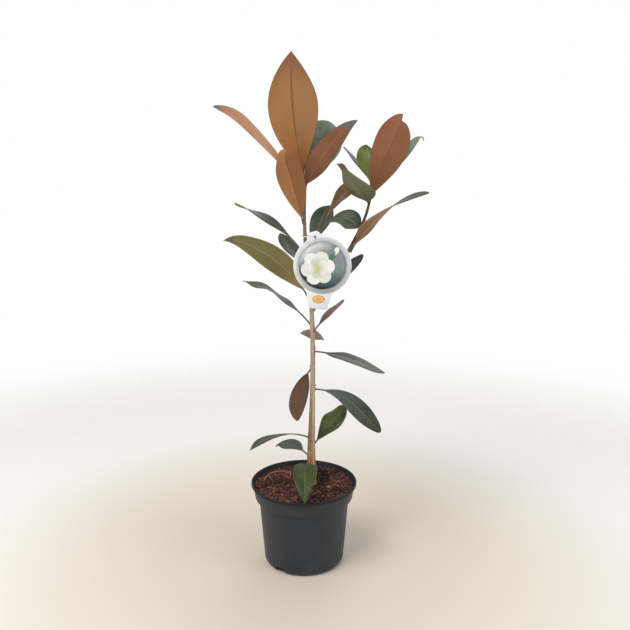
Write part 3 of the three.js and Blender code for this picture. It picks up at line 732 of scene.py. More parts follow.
def leafMesh(name, leaf, start, sunk):
    # the stalk starts sunk into its limb, and the blade is one closed sheet with a rib below
    steps, count = blade["rows"], blade["across"]
    length = leaf["length"] - blade["trim"]
    reach = leaf["stalk"] + length
    ends = np.linspace(-1, 1, count)
    ends = np.sign(ends) * np.abs(ends) ** blade["crowding"]
    across = np.concatenate([ends, ends[::-1]])
    sideOf = np.concatenate([np.ones(count), -np.ones(count)])
    bowed = np.sqrt(np.maximum(0, 1 - across ** 2))
    margin = np.clip((1 - np.abs(across)) / blade["margin"], 0, 1) ** 0.5
    fold = math.radians(leaf["fold"])
    seed = rng.uniform(0, 100)
    spot = np.array(start, float) - facing(leaf, 0)[0] * sunk
    flare = blade["baseRadius"] / blade["stalkRadius"] - 1
    thin, swollen, sunken = blade["marginSheet"], *blade["quiltShares"]
    rings, maps = [], []
    for i in range(steps + 1):
        u = i / steps
        ahead, side, face = facing(leaf, u)
        t = (u * reach - leaf["stalk"]) / length
        onBlade, toTip = max(0, t), min(1, t)
        share = outline(leaf, t)
        sooner = outline(leaf, min(1.0, t / (1 - leaf["short"])))  # one half can end before the other
        least = blade["stalkRadius"] if t < 0.5 else blade["tip"] * (1 if i < steps else 0.5)
        half = np.maximum(least, leaf["width"] / 2 * np.where(across < 0, sooner, share))
        flat = float(eased(0.0, blade["flatAt"], share))  # 0 on the round stalk, 1 on the flat blade
        swell = 1 + flare * math.exp(-u * reach / blade["baseLength"])
        x = across * half * (swell if share == 0 else 1)
        stalk = bowed * blade["stalkRadius"] * swell * (1 - blade["stalkTaper"] * min(1, onBlade))
        # side veins, as in the finish
        lead = (np.abs(across) * veins["reach"] + across ** 2 * veins["bend"]) * (4 * onBlade * (1 - toTip))
        phase = (t - lead) * veins["pairs"] + np.where(across > 0, 0.5, 0)
        quilt = blade["quilt"] * (0.5 + 0.5 * np.cos(2 * np.pi * phase)) * flat * (1 - across ** 6)
        ribShare = math.exp(-blade["ribFade"][0] * onBlade) * (1 - blade["ribFade"][1] * onBlade)
        nearRib = np.exp(-(x / (blade["ribWidth"][0] + blade["ribWidth"][1] * ribShare)) ** 2)
        upper = blade["sheet"] + quilt * swollen - blade["groove"] * nearRib * ribShare
        lower = blade["sheet"] - quilt * sunken + blade["rib"] * nearRib * ribShare
        thick = np.where(sideOf > 0, upper, lower) * (thin + (1 - thin) * margin)
        out = sideOf * (stalk * (1 - flat) + thick * flat)
        lift = (np.sqrt((across * half) ** 2 + 1.0) - 1.0) * math.sin(fold) * share
        lift = lift + leaf["wave"] * share * math.sin(3 * math.pi * t) * across
        lift = lift - blade["turnDown"] * half * across ** 4 * flat
        waver = marginWaver(across, t, seed)
        lift = lift + blade["waver"] * waver * across ** 2 * flat * np.minimum(1, half / 10)
        rings.append(spot + np.outer(x * math.cos(fold * share), side) + np.outer(lift + out, face))
        maps.append(np.stack([(across + 1) / 2, np.full(len(across), min(1.0, t))], -1))
        spot = spot + facing(leaf, u + 0.5 / steps)[0] * (reach + sunk) / steps
    points, faces = tube(rings)
    maps = np.concatenate(maps + [[[0.5, maps[0][0][1]]], [[0.5, 1.0]]])
    upperFace, underFace, stalkFace = 0, 1, 2
    finishOf = []
    for i in range(steps):
        t = ((i + 0.5) / steps * reach - leaf["stalk"]) / length
        onStalk = t < 0.5 and outline(leaf, t) < 0.05
        finishOf += [stalkFace] * 2 * count if onStalk else [upperFace] * count + [underFace] * count
    finishOf += [stalkFace] * 2 * count + [underFace] * 2 * count
    materials = [uppers[leaf["tints"][0]], unders[leaf["tints"][1]], stalkMaterial]
    return addMesh(name, points, faces, materials, finishOf, maps)


stems = ((trunk, trunkLeaves), (bough, boughLeaves))
for limb, leaves in stems:
    for name, leaf in leaves.items():
        piece = leafMesh(name.replace("_", "Blade"), leaf, offBark(limb, leaf), blade["sunk"])
        finishPiece(piece, "leaf", name)
whorls = (("whorl_leader", leaderShoot, leaderWhorl), ("whorl_bough", boughShoot, boughWhorl))
for node, shoot, leaves in whorls:
    for name, leaf in leaves.items():
        piece = leafMesh(name, leaf, shoot.at(shoot.shareAt(leaf["at"])), 0)
        finishPiece(piece, "leaf_underside" if name in seenFromBelow else "leaf", node)
print("leaves ready")


bark = {
    "around": 48,
    "step": 0.9,  # mm between rings
    "furrow": 0.16,
    "furrowGrain": (1.9, 0.045, 2.2),  # round the stem, along it, and of both
    "pores": 150,
    "poreHeight": 0.28,
    "poreSize": (0.75, 0.32),  # half width and half height
    "poreReach": 2,
    "scar": 0.55,  # swelling under a stalk
    "scarReach": 9,
    "padBelow": 1.2, "padHigh": 2.2, "padWide": 0.6,  # of that swelling, the last as an angle
    "ringBelow": 1.5, "ringHigh": 0.8, "ringShare": 0.22,  # of the low ring that runs on round the stem
    "rootSwell": 1.7,
    "rootHeight": 40,
    "ridges": 5,  # round the swollen foot
    "boughPores": 40,
    "boughFrom": 436.5,
    "boughTo": 600,  # past the bough's end, where its bark stops
    # the foot's tone turns to the stem's between the heights of footTop, and that to the shoot's
    "trunk": dict(
        foot=(0.30, 0.11, 0.052), stem=(0.50, 0.385, 0.25), shoot=(0.15, 0.13, 0.085),
        footTop=(160, 250), stemTop=(445, 545)),
    "bough": dict(
        foot=(0.21, 0.11, 0.065), stem=(0.21, 0.110, 0.066), shoot=(0.26, 0.15, 0.09),
        footTop=(160, 250), stemTop=(520, 620)),
    "umber": (0.135, 0.076, 0.030),
    "red": (0.38, 0.090, 0.030),
    # pale, olive and the edge tone are painted light and shade on the stem's sides, as seen from the front:
    # pale on the lit right side, dark olive on the shaded left side and at the right edge
    "pale": (0.56, 0.37, 0.24),
    "olive": (0.060, 0.062, 0.020),
    "oliveEdgeShade": (0.095, 0.080, 0.033),
    "pore": (0.70, 0.58, 0.44),
}


def barkFinish(name, foot, stem, shoot, footTop, stemTop):
    finish = Finish(name, Specular_IOR_Level=0.3)
    place = finish.place()
    side, height, _ = finish.parts(finish.place("UV"))  # 0 at the left edge, 1 at the right, and mm
    fibres = finish.grain(finish.stretched(place, 1, 1, 0.12), 900, 4, 0.65)
    streaks = finish.grain(finish.stretched(place, 1, 1, 0.05), 420, 4, 0.6)
    patches = finish.grain(finish.stretched(place, 1, 1, 0.35), 90, 3)
    pores = finish.cells(finish.stretched(place, 1, 1, 2.2), 190, "F1")
    pore = pores.between(0.24, 0.14) * patches.between(0.35, 0.55)
    uneven = height + patches * 40 - 20
    drifting = side + (streaks - 0.5) * 0.3
    low = height.between(footTop[1] + 80, footTop[1] - 10)
    root = height.between(footTop[0] + 50, footTop[0] + 22)
    tone = finish.layered(
        finish.blend(uneven.between(*footTop), foot, stem),
        (uneven.between(*stemTop), shoot),
        (abs(drifting - 0.36).between(0.17, 0.04) * low * 0.9, bark["umber"]),
        (abs(drifting - 0.38).between(0.24, 0.06) * root * 0.9, bark["red"]),
        # painted light and shade by the side seen from the front: pale on the lit right side, dark olive and
        # a darker stem tone on the shaded left side, dark olive at the right edge
        (abs(drifting - 0.80).between(0.20, 0.04) * low * 0.75, bark["pale"]),
        (side.between(0.30, 0.08) * low * 0.95, bark["olive"]),
        (side.between(0.93, 1.0) * low * 0.4, bark["oliveEdgeShade"]),
        (side.between(0.34, 0.05) * 0.6, shaded(stem, 0.36)),
        (streaks.between(0.45, 0.62) * 0.5, shaded(stem, 0.42)),
        (fibres.between(0.35, 0.7) * 0.30, shaded(stem, 0.45)),
        (patches.between(0.52, 0.8) * 0.30, shaded(stem, 1.25)),
        (pore * 0.75, bark["pore"]),
    )
    relief = fibres * 0.7 + streaks * 0.6 + pore * 0.5
    return finish.done(tone, fibres.between(0.2, 0.8, 0.62, 0.82), relief, 0.0004, 0.6)


def barkMesh(name, limb, leaves, material, low, high, pores, rootSwell=0.0):
    rows = int((high - low) / bark["step"])
    around = bark["around"]
    angles = allRound(around)
    poreWide, poreHigh = bark["poreSize"]
    grainRound, grainAlong, grainBoth = bark["furrowGrain"]
    ridges = 0.7 + 0.3 * np.cos(bark["ridges"] * angles + 0.8)
    spots = [(rng.uniform(0, 2 * math.pi), rng.uniform(low, high), rng.uniform(0.5, 1)) for _ in range(pores)]
    rings, maps = [], []

    def offFrom(heading):  # the angle from a heading to each point of a ring
        return np.angle(np.exp(1j * (angles - heading)))

    for i in range(rows + 1):
        share = limb.shareAt(low + (high - low) * i / rows)
        middle, ahead = limb.at(share), limb.ahead(share)
        z = middle[2]
        side, face = squareTo(ahead, (0, -1, 0))
        radius = np.full(around, limb.radius(z))
        for k, angle in enumerate(angles):
            at = Vector((math.cos(angle) * grainRound, math.sin(angle) * grainRound, z * grainAlong))
            radius[k] += bark["furrow"] * noise.fractal(at * grainBoth, 1.0, 2.0, 3)
        for heading, height, size in spots:
            if abs(z - height) < bark["poreReach"]:
                off = offFrom(heading) * limb.radius(z)
                pore = np.exp(-(off / poreWide) ** 2 - ((z - height) / poreHigh) ** 2)
                radius += bark["poreHeight"] * size * pore
        for leaf in leaves.values():
            drop = z - leaf["at"]
            if abs(drop) < bark["scarReach"]:
                out = turned(leaf["heading"])
                off = np.abs(offFrom(math.atan2(face @ out, side @ out)))
                pad = math.exp(-((drop + bark["padBelow"]) / bark["padHigh"]) ** 2)
                ring = math.exp(-((drop + bark["ringBelow"]) / bark["ringHigh"]) ** 2)
                across = np.exp(-(off / bark["padWide"]) ** 2)
                radius += bark["scar"] * (pad * across + bark["ringShare"] * ring)
        radius += rootSwell * math.exp(-(z - low) / bark["rootHeight"]) * ridges
        rings.append(ringAbout(middle, side, face, radius, angles))
        maps.append(np.stack([0.5 + 0.5 * np.cos(angles), np.full(around, z)], -1))
    points, faces = tube(rings)
    maps = np.concatenate(maps + [[[0.5, low]], [[0.5, high]]])
    return addMesh(name, points, faces, [material], None, maps)


trunkBark, boughBark = barkFinish("trunkBark", **bark["trunk"]), barkFinish("boughBark", **bark["bough"])
foot, top = trunk.heights[0], trunk.heights[-1]
trunkStem = barkMesh("trunkStem", trunk, trunkLeaves, trunkBark, foot, top, bark["pores"], bark["rootSwell"])
foot, top = bark["boughFrom"], bark["boughTo"]
boughStem = barkMesh("boughStem", bough, boughLeaves, boughBark, foot, top, bark["boughPores"])
finishPiece(trunkStem, "bark", "trunk")
finishPiece(boughStem, "young_bark", "bough_right")

bud = {
    "around": 20, "rows": 26, "length": 7.5, "radius": 2.0,
    "above": 3.2,  # over the leaf it stands by
    "edge": 0.10,  # how far a scale stands out
    "scales": 3,
    "sizes": (0.55, 0.8),
    "turn": 8,  # degrees to either side of its leaf
    "sunk": 0.5,  # into the stem
    "outward": 0.45,
    "tipLength": 24,  # of the bud that ends a shoot
    "tipScales": 4,
    "tipSwell": 0.2,  # over the shoot's radius
    "tipWay": (0.02, 0.03, 1.0),
    "barkEnds": 16,  # below the shoot's end
    "shootSides": 24,
    "scale": (0.16, 0.10, 0.055),
    "hair": (0.36, 0.23, 0.13),
}


def budFinish():
    finish = Finish("budScale", Sheen_Weight=0.4, Specular_IOR_Level=0.3)
    hairs = finish.grain(finish.stretched(finish.place(), 1, 1, 0.2), 1500, 3)
    tone = finish.blend(hairs.between(0.3, 0.7), bud["scale"], bud["hair"])
    return finish.done(tone, 0.65 + hairs * 0.2, hairs, 0.0003, 0.6)


def budRings(foot, way, length, radius, scales):
    # a pointed bud wrapped in scales, each ending in a low edge
    way = way / np.linalg.norm(way)
    side, face = squareTo(way, (0.3, 0.9, 0.2))
    angles = allRound(bud["around"])
    rings = []
    for i in range(bud["rows"] + 1):
        s = i / bud["rows"]
        body = radius * (0.55 + 0.45 * math.sin(math.pi * min(1, s / 0.45) / 2))
        body = body * (1 - eased(0.35, 1.0, s) * 0.93)
        step = np.mod(s * scales + angles / (2 * np.pi), 1)
        scaled = body * (1 + bud["edge"] * (1 - step))
        rings.append(ringAbout(foot + way * (s * length), side, face, scaled, angles))
    return rings


budMaterial = budFinish()
buds = Heap()
for limb, leaves in stems:
    for leaf in leaves.values():
        share = limb.shareAt(leaf["at"] + bud["above"])
        out = turned(leaf["heading"] + rng.uniform(-bud["turn"], bud["turn"]))
        foot = limb.at(share) + out * (limb.radius(leaf["at"]) - bud["sunk"])
        size = rng.uniform(*bud["sizes"])
        way = limb.ahead(share) + out * bud["outward"]
        rings = budRings(foot, way, bud["length"] * size, bud["radius"] * size, bud["scales"])
        buds.add(*tube(rings))
finishPiece(buds.piece("sideBuds", [budMaterial]), "young_bark")

for (node, shoot, _), name in zip(whorls, ("leaderBud", "boughBud")):
    low, high, rows = shoot.heights[0], shoot.heights[-1], bud["shootSides"]
    rings = []
    for i in range(rows + 1):
        middle = shoot.at(shoot.shareAt(low + (high - bud["barkEnds"] - low) * i / rows))
        z = middle[2]
        rings.append(middle + hoop(shoot.radius(z) + 0.12 * math.sin(z * 2.1), 0, rows))
    stem = Heap()
    stem.add(*tube(rings), 1)
    foot = shoot.at(shoot.shareAt(high - bud["tipLength"]))
    radius = shoot.radii[2] + bud["tipSwell"]
    stem.add(*tube(budRings(foot, np.array(bud["tipWay"]), bud["tipLength"], radius, bud["tipScales"])))
    finishPiece(stem.piece(name, [budMaterial, boughBark]), "young_bark", node)
print("wood ready")


pot = {
    "height": 135, "lip": 85, "lipDepth": 5, "bandTop": 81.5, "bandFoot": 78.8, "bandDepth": 25,
    "wallTop": 72.5, "wallFoot": 64.5, "wall": 1.8, "floor": 2.4, "foot": 9,
    "lipTop": 2.2, "slotWide": 17, "slotHigh": 9, "slotHeadings": (233, 53), "sides": 192,
    "slotRounding": 1.2,
    "dark": (0.0175, 0.0230, 0.0310), "light": (0.0240, 0.0305, 0.0400), "rimShade": (0.004, 0.005, 0.006),
    "scuff": (0.18, 0.18, 0.18), "dust": (0.20, 0.17, 0.14),
    "rimShadeFrom": 0.127, "rimShadeTo": 0.131, "dustTop": 0.045,  # of the tones, in m above the floor; the near black band at the top is painted shade on the rim and inner wall
}


def potFinish():
    finish = Finish("potPlastic", Specular_IOR_Level=0.4)
    place = finish.place()
    z = finish.parts(place)[2]
    cloud = finish.grain(place, 14, 4)
    fine = finish.grain(place, 1800, 2)
    rings = finish.grain(finish.stretched(place, 0, 0, 1), 700, 2)  # drawn marks of the mould, all round
    scratches = finish.grain(finish.stretched(place, 1, 1, 9), 55, 5, 0.75, 1.5)
    scuff = scratches.between(0.66, 0.74) * cloud.between(0.45, 0.62)
    dust = finish.grain(place, 60, 4).between(0.5, 0.8) * z.between(pot["dustTop"], 0.0)
    # painted shade: the rim and the top of the inner wall darkened to near black
    lip = z.between(pot["rimShadeFrom"], pot["rimShadeTo"])
    tone = finish.layered(
        finish.blend(cloud.between(0.3, 0.7), pot["dark"], pot["light"]),
        (lip * 0.85, pot["rimShade"]),
        (scuff * 0.3, pot["scuff"]),
        (dust * 0.22, pot["dust"]),
    )
    rough = cloud.between(0.3, 0.7, 0.40, 0.50) + lip * 0.2 + scuff * 0.25 + fine * 0.05
    return finish.done(tone, rough, fine * 0.5 + rings * 0.5, 0.00012)


def arc(x, z, radius, first, last, count):
    angles = [math.radians(angle) for angle in np.linspace(first, last, count)]
    return [(x + radius * math.cos(a), z + radius * math.sin(a)) for a in angles]


def potProfile():
    height, lip, foot, wall = pot["height"], pot["lip"], pot["foot"], pot["wall"]
    wallTop, wallFoot, bandTop, bandFoot = pot["wallTop"], pot["wallFoot"], pot["bandTop"], pot["bandFoot"]
    bandLow, lipLow = height - pot["bandDepth"], height - pot["lipDepth"]
    line = [(0.01, 0.5), (9, 0.5), (10, 0.0), (11, 0.0), (12, 0.5), (44, 0.5), (46, 0.05), (48, 0.0)]
    line += [(wallFoot - foot, 0), *arc(wallFoot - foot, foot, foot, -80, 3, 10)]
    for s in np.linspace(0.08, 0.94, 22):  # the wall bows by a hair between foot and band
        r = wallFoot + (wallTop - wallFoot) * s
        line += [(r + 0.15 * math.sin(math.pi * s), foot + (bandLow - 2 - foot) * s)]
    line += [(wallTop, bandLow - 2.4), (wallTop + 0.5, bandLow - 1.6)]
    line += [(bandFoot - 1.2, bandLow - 0.5), (bandFoot - 0.3, bandLow), (bandFoot, bandLow + 0.9)]
    for s in np.linspace(0.1, 0.95, 12):
        line += [(bandFoot + (bandTop - bandFoot) * s, bandLow + (lipLow - bandLow) * s)]
    line += [(bandTop + 0.1, lipLow - 0.3), (lip - 0.6, lipLow + 0.3), (lip, lipLow + 1), (lip, height - 1.4)]
    line += arc(lip - 1.2, height - 1.2, 1.2, 10, 90, 5)
    line += [(lip - pot["lipTop"] + 0.5, height)]
    line += arc(lip - pot["lipTop"] + 0.5, height - 0.5, 0.5, 110, 165, 4)
    line += [(bandTop - wall + 0.2, lipLow + 0.3), (bandTop - wall, lipLow - 0.6)]
    line += [(bandFoot - wall, bandLow + 1), (wallTop - wall, bandLow - 1)]
    line += [(wallFoot - wall, foot), (wallFoot - foot, pot["floor"]), (0.01, pot["floor"])]
    return line


def addPot():
    points, faces = tube([hoop(r, z, pot["sides"]) for r, z in potProfile()])
    body = addMesh("potBody", points, faces, [potFinish()])
    for heading in pot["slotHeadings"]:
        bpy.ops.mesh.primitive_cube_add(size=1)
        cutter = bpy.context.object
        cutter.scale = (2 * pot["foot"] * mm, pot["slotWide"] * mm, 2 * pot["slotHigh"] * mm)
        cutter.rotation_euler.z = math.radians(heading)
        cutter.location = turned(heading) * pot["wallFoot"] * mm
        rounding = cutter.modifiers.new("round", "BEVEL")
        rounding.width = pot["slotRounding"] * mm
        rounding.segments = 3
        cutOut(body, cutter)
    body.data.polygons.foreach_set("use_smooth", [True] * len(body.data.polygons))
    return body


finishPiece(addPot(), "pot_plastic", "pot")
print("pot ready")


mix = {
    "level": 127.4, "radius": 79.0, "rings": 110, "sides": 260,
    "lumps": 2.2, "grit": 0.5, "crown": 1.3, "edge": 1.0,  # how far they lift the top
    "lumpGrain": 0.16, "gritGrain": 0.9, "crownWidth": 12, "edgeWidth": 6,
    "hollow": {"x": 25, "y": 26, "wide": 14, "long": 42, "deep": 5.5},  # right of the stem
    "below": ((55, 3), (62, 12), (70, 105), (76, 112), (78.2, 124)),  # radius and height inside the pot
    "clear": 8.5,  # of chips and strands, round the stem's middle
    "tones": ((0.036, 0.0130, 0.0100), (0.115, 0.043, 0.031), (0.17, 0.085, 0.055)),  # dark, light, pale
    "crumbs": 200,
    "paintedShadow": {"x": 0.024, "y": 0.028, "fadeX": 48, "fadeY": 19},  # a painted shadow behind and right of the stem: its middle in m, and how fast it fades
}
chips = {
    "count": 2300, "size": (1.7, 6.6), "crumbs": 150,
    "inside": 2.5,  # the edge of the mix, at least
    "sides": ((0.8, 1.3), (0.4, 0.75), (0.18, 0.42)),  # least and most length, width, thickness of size 1
    "rarity": 2.2,  # of large ones
    "lift": 0.10,
    "kinds": [  # dark, light and pale tone, and the share of all chips
        ("chipDark", (0.048, 0.018, 0.014), (0.125, 0.048, 0.036), (0.16, 0.08, 0.055), 0.57),
        ("chipRed", (0.155, 0.055, 0.041), (0.280, 0.108, 0.076), (0.32, 0.15, 0.10), 0.39),
        ("chipPale", (0.28, 0.150, 0.105), (0.40, 0.25, 0.19), (0.52, 0.40, 0.31), 0.04),
    ],
}
strands = {
    "count": 26, "length": (4, 14), "radius": (0.12, 0.3), "steps": 8,
    "inside": 6,  # the edge of the mix at their start
    "insideEnd": 1.5,
    "above": 0.9, "bow": 0.8, "bend": 0.25,
    "rootAbove": 1.1, "rootSteps": 25,
    "dark": (0.23, 0.115, 0.080), "light": (0.38, 0.22, 0.16),
    "roots": [  # two fine roots that lie bare on the mix, as bows: start, bend, end
        {"from": (-66, 12), "by": (-58, 44), "to": (-26, 50), "radius": 0.95, "lift": 3.2},
        {"from": (-26, 50), "by": (-19, 34), "to": (-25, 20), "radius": 0.85, "lift": 2.0},
    ],
}


def mixFinish(name, dark, light, pale, size):
    finish = Finish(name, Specular_IOR_Level=0.3)
    place = finish.place()
    x, y, _ = finish.parts(place)
    tint, other, _ = finish.parts(finish.cells(place, size, "F1", "Color"))
    fine = finish.grain(place, 1300, 4, 0.7)
    # painted shadow behind and right of the stem, over the hollow, with random darker patches added
    paintedShadow = mix["paintedShadow"]
    off = ((x - paintedShadow["x"]) * paintedShadow["fadeX"]) ** 2.0 + ((y - paintedShadow["y"]) * paintedShadow["fadeY"]) ** 2.0
    shadowAndPatches = off.between(1.2, 0.35) * 0.75 + finish.grain(place, 42, 3).between(0.50, 0.40) * 0.6
    tone = finish.layered(
        finish.blend(tint, dark, light),
        (other.between(0.86, 0.95) * 0.7, pale),
        (fine.between(0.35, 0.65) * 0.5, shaded(dark, 0.4)),
        (shadowAndPatches.between(0, 1), shaded(dark, 0.35)),
    )
    return finish.done(tone, 0.8 + fine * 0.15, fine, 0.0006, 0.7)


def fibreFinish():
    finish = Finish("rootFibre", Specular_IOR_Level=0.3)
    streak = finish.grain(finish.place(), 500, 3)
    tone = finish.blend(streak.between(0.3, 0.7), strands["dark"], strands["light"])
    return finish.done(tone, 0.7 + streak * 0.15)


def fromStem(x, y):
    return math.hypot(x - trunk.places[0][0], y)


def bedHeight(x, y):
    coarse, fine = mix["lumpGrain"], mix["gritGrain"]
    lumps = noise.fractal(Vector((x * coarse, y * coarse, 3.1)), 0.9, 2.1, 4)
    grit = noise.noise(Vector((x * fine, y * fine, 7.7)))
    crown = math.exp(-((x - trunk.places[0][0]) ** 2 + y ** 2) / mix["crownWidth"] ** 2)
    edge = float(eased(mix["radius"] - mix["edgeWidth"], mix["radius"], math.hypot(x, y)))
    pit = mix["hollow"]
    away, along = (x - pit["x"]) / pit["wide"], (y - pit["y"]) / pit["long"]
    hollow = pit["deep"] * math.exp(-away ** 2 - along ** 2)
    raised = mix["level"] + mix["lumps"] * lumps + mix["grit"] * grit
    return raised + mix["crown"] * crown + mix["edge"] * edge - hollow


def addBed():
    rings = [hoop(r, z, mix["sides"]) for r, z in mix["below"]]
    angles = allRound(mix["sides"])
    for i in range(mix["rings"] + 1):
        r = mix["radius"] * (1 - i / mix["rings"]) + 0.4 * i / mix["rings"]
        spots = [(r * math.cos(a), r * math.sin(a)) for a in angles]
        rings.append([(x, y, bedHeight(x, y)) for x, y in spots])
    points, faces = tube(rings)
    return addMesh("mixBed", points, faces, [mixFinish("mixBed", *mix["tones"], mix["crumbs"])])


def chipShape(size):
    # a split flake of bark: an uneven block with rounded ends
    long, wide, thin = (size * rng.uniform(*ends) for ends in chips["sides"])
    rings = []
    for s in (-1, -0.55, 0.1, 0.6, 1):
        narrow = (1 - abs(s) ** 3 * 0.65) * rng.uniform(0.8, 1.1)
        ring = []
        for k in range(6):
            a = k * math.pi / 3 + rng.uniform(-0.25, 0.25)
            ring.append((s * long / 2, math.cos(a) * wide / 2 * narrow, math.sin(a) * thin / 2 * narrow))
        rings.append(ring)
    return tube(rings)


def turnedAbout(points, spin, tilt, lean):
    for axis, angle in ((0, lean), (1, tilt), (2, spin)):
        c, s = math.cos(angle), math.sin(angle)
        i, j = (axis + 1) % 3, (axis + 2) % 3
        moved = points.copy()
        moved[:, i] = points[:, i] * c - points[:, j] * s
        moved[:, j] = points[:, i] * s + points[:, j] * c
        points = moved
    return points


def spotOnMix(inside):  # a random one, at least this far inside the edge
    r = (mix["radius"] - inside) * math.sqrt(rng.random())
    a = rng.uniform(0, 2 * math.pi)
    return r * math.cos(a), r * math.sin(a)


def addChips():
    heap = Heap()
    least, most = chips["size"]
    shares = [kind[-1] for kind in chips["kinds"]]
    for _ in range(chips["count"]):
        x, y = spotOnMix(chips["inside"])
        if fromStem(x, y) < mix["clear"]:
            continue
        size = least + (most - least) * rng.random() ** chips["rarity"]
        points, faces = chipShape(size)
        points = turnedAbout(points, rng.uniform(0, 6.3), rng.uniform(-0.5, 0.5), rng.uniform(-0.6, 0.6))
        kind = rng.choices(range(len(shares)), shares)[0]
        heap.add(points + (x, y, bedHeight(x, y) + size * chips["lift"]), faces, kind)
    materials = [mixFinish(*tones, chips["crumbs"]) for *tones, _ in chips["kinds"]]
    return heap.piece("barkChips", materials, smooth=False)


def strandRings(spots, radius, around=6):
    spots = np.array(spots, float)
    rings = []
    for i, spot in enumerate(spots):
        ahead = spots[min(i + 1, len(spots) - 1)] - spots[max(i - 1, 0)]
        ahead /= np.linalg.norm(ahead)
        side, face = squareTo(ahead, (0.12, 0.2, 0.97))
        taper = radius * (0.35 + 0.65 * math.sin(math.pi * (i + 0.6) / (len(spots) + 0.2)) ** 0.5)
        rings.append(ringAbout(spot, -side, face, taper, allRound(around)))
    return rings


def addStrands():
    heap = Heap()
    for root in strands["roots"]:
        a, b, c = (np.array(root[key], float) for key in ("from", "by", "to"))
        spots = []
        for s in np.linspace(0, 1, strands["rootSteps"] + 1):
            x, y = a * (1 - s) ** 2 + 2 * b * s * (1 - s) + c * s * s
            bow = root["lift"] * math.sin(math.pi * s) ** 0.7
            spots.append((x, y, bedHeight(x, y) + strands["rootAbove"] + bow))
        spots = np.array(spots)
        spots[:, 2] = np.convolve(np.pad(spots[:, 2], 4, "edge"), np.ones(9) / 9, "valid")
        heap.add(*tube(strandRings(spots, root["radius"], 8)))
    steps = strands["steps"]
    for _ in range(strands["count"]):
        x, y = spotOnMix(strands["inside"])
        heading, bend = rng.uniform(0, 6.3), rng.uniform(-strands["bend"], strands["bend"])
        length = rng.uniform(*strands["length"])
        spots = []
        for i in range(steps + 1):
            if math.hypot(x, y) >= mix["radius"] - strands["insideEnd"] or fromStem(x, y) < mix["clear"]:
                break
            bow = strands["bow"] * math.sin(math.pi * i / steps)
            spots.append((x, y, bedHeight(x, y) + strands["above"] + bow))
            x, y = x + math.cos(heading) * length / steps, y + math.sin(heading) * length / steps
            heading += bend
        if len(spots) > 3:
            heap.add(*tube(strandRings(spots, rng.uniform(*strands["radius"]))))
    return heap.piece("rootStrands", [fibreFinish()])


finishPiece(addBed(), "potting_mix", "potting_mix")
finishPiece(addChips(), "potting_mix")
finishPiece(addStrands(), "potting_mix")
print("potting mix ready")


label = {
    "centre": (29, -13, 487), "lean": 10, "radius": 44, "half": 0.6,
    "tab": {"angle": 105, "root": 60, "end": 18, "reach": 53},
    "tongue": {"angle": -97, "root": 44, "end": 31, "reach": 66},
    "corner": 6, "hole": 45, "holeRadius": 2.2, "points": 480,
    "rim": [(0.02, 1), (0.5, 1), (0.97, 1), (0.992, 0.85), (1.0, 0.35)],  # from middle to edge, share of half
    "sharpAbove": 35,  # degrees between faces
    "colour": (0.80, 0.81, 0.80),
}


def sheetFinish(name, colour, rough=0.34):
    finish = Finish(name, Specular_IOR_Level=0.5)
    place = finish.place()
    cloud = finish.grain(place, 40, 3).between(0.3, 0.7)
    tone = finish.blend(cloud * 0.12, colour, shaded(colour, 0.85))
    return finish.done(tone, cloud * 0.08 + rough, finish.grain(place, 2200, 2), 0.00006, 0.4)


def groundFinish(name, centre, half, dark, teal, grey, haze):
    # a soft printed ground: teal below, grey above and to the right, a pale haze at the upper left
    finish = Finish(name, Specular_IOR_Level=0.5)
    place = finish.place()
    x, _, z = finish.parts(place)
    right, up = (x - centre[0]) / half, (z - centre[2]) / half
    cloud = finish.grain(place, 55, 3) - 0.5
    tone = finish.layered(
        finish.blend((up + right * 0.5 + cloud * 0.9).between(-0.7, 0.35), teal, grey),
        ((right + up * 0.9 + cloud * 0.6).between(-0.6, -1.1), dark),
        ((up - right * 0.7 + cloud * 0.9).between(0.25, 1.15) * 0.85, haze),
    )
    return finish.done(tone, (cloud + 0.5).between(0.3, 0.7, 0.3, 0.38))


def roundFinish(name, first, last, inner, outer, mottle, middle):
    # a tone that turns from the inner one to the outer one between two distances from its middle: printed
    # on the petals, painted shade and highlight on the label's rim
    finish = Finish(name, Specular_IOR_Level=0.5)
    place = finish.place()
    x, _, z = finish.parts(place)
    away = ((x - middle[0]) ** 2.0 + (z - middle[2]) ** 2.0) ** 0.5
    cloud = finish.grain(place, 130, 4, 0.6)
    tone = finish.layered(
        finish.blend(away.between(first, last), inner, outer),
        (cloud.between(0.42, 0.7) * 0.5, mottle),
    )
    return finish.done(tone, cloud.between(0.3, 0.7, 0.3, 0.38))


def labelPoint(x, y, out):
    # from the label's own plane, seen from the front, to the plant's frame
    c, s = math.cos(math.radians(label["lean"])), math.sin(math.radians(label["lean"]))
    cx, cy, cz = label["centre"]
    return (cx + x, cy + y * s - out * c, cz + y * c + out * s)


def holePoint():
    angle = math.radians(label["tab"]["angle"])
    return labelPoint(label["hole"] * math.cos(angle), label["hole"] * math.sin(angle), 0)


def stripReach(strip, angle):
    # how far the strip goes from the middle of the disc in a direction
    off = math.radians(angle - strip["angle"])
    if abs(off) > math.pi / 2 - 0.05:
        return 0.0
    end = strip["reach"] - label["corner"]
    flat = strip["end"] / 2 - label["corner"]
    for reach in np.arange(strip["reach"] / math.cos(off), label["radius"] * 0.4, -0.1):
        along, aside = reach * math.cos(off), abs(reach * math.sin(off))
        half = np.interp(along, (label["radius"] / 2, end), (strip["root"] / 2, strip["end"] / 2))
        if along <= end:
            inside = aside <= half
        else:
            inside = math.hypot(along - end, max(0, aside - flat)) <= label["corner"]
        if inside:
            return float(reach)
    return 0.0


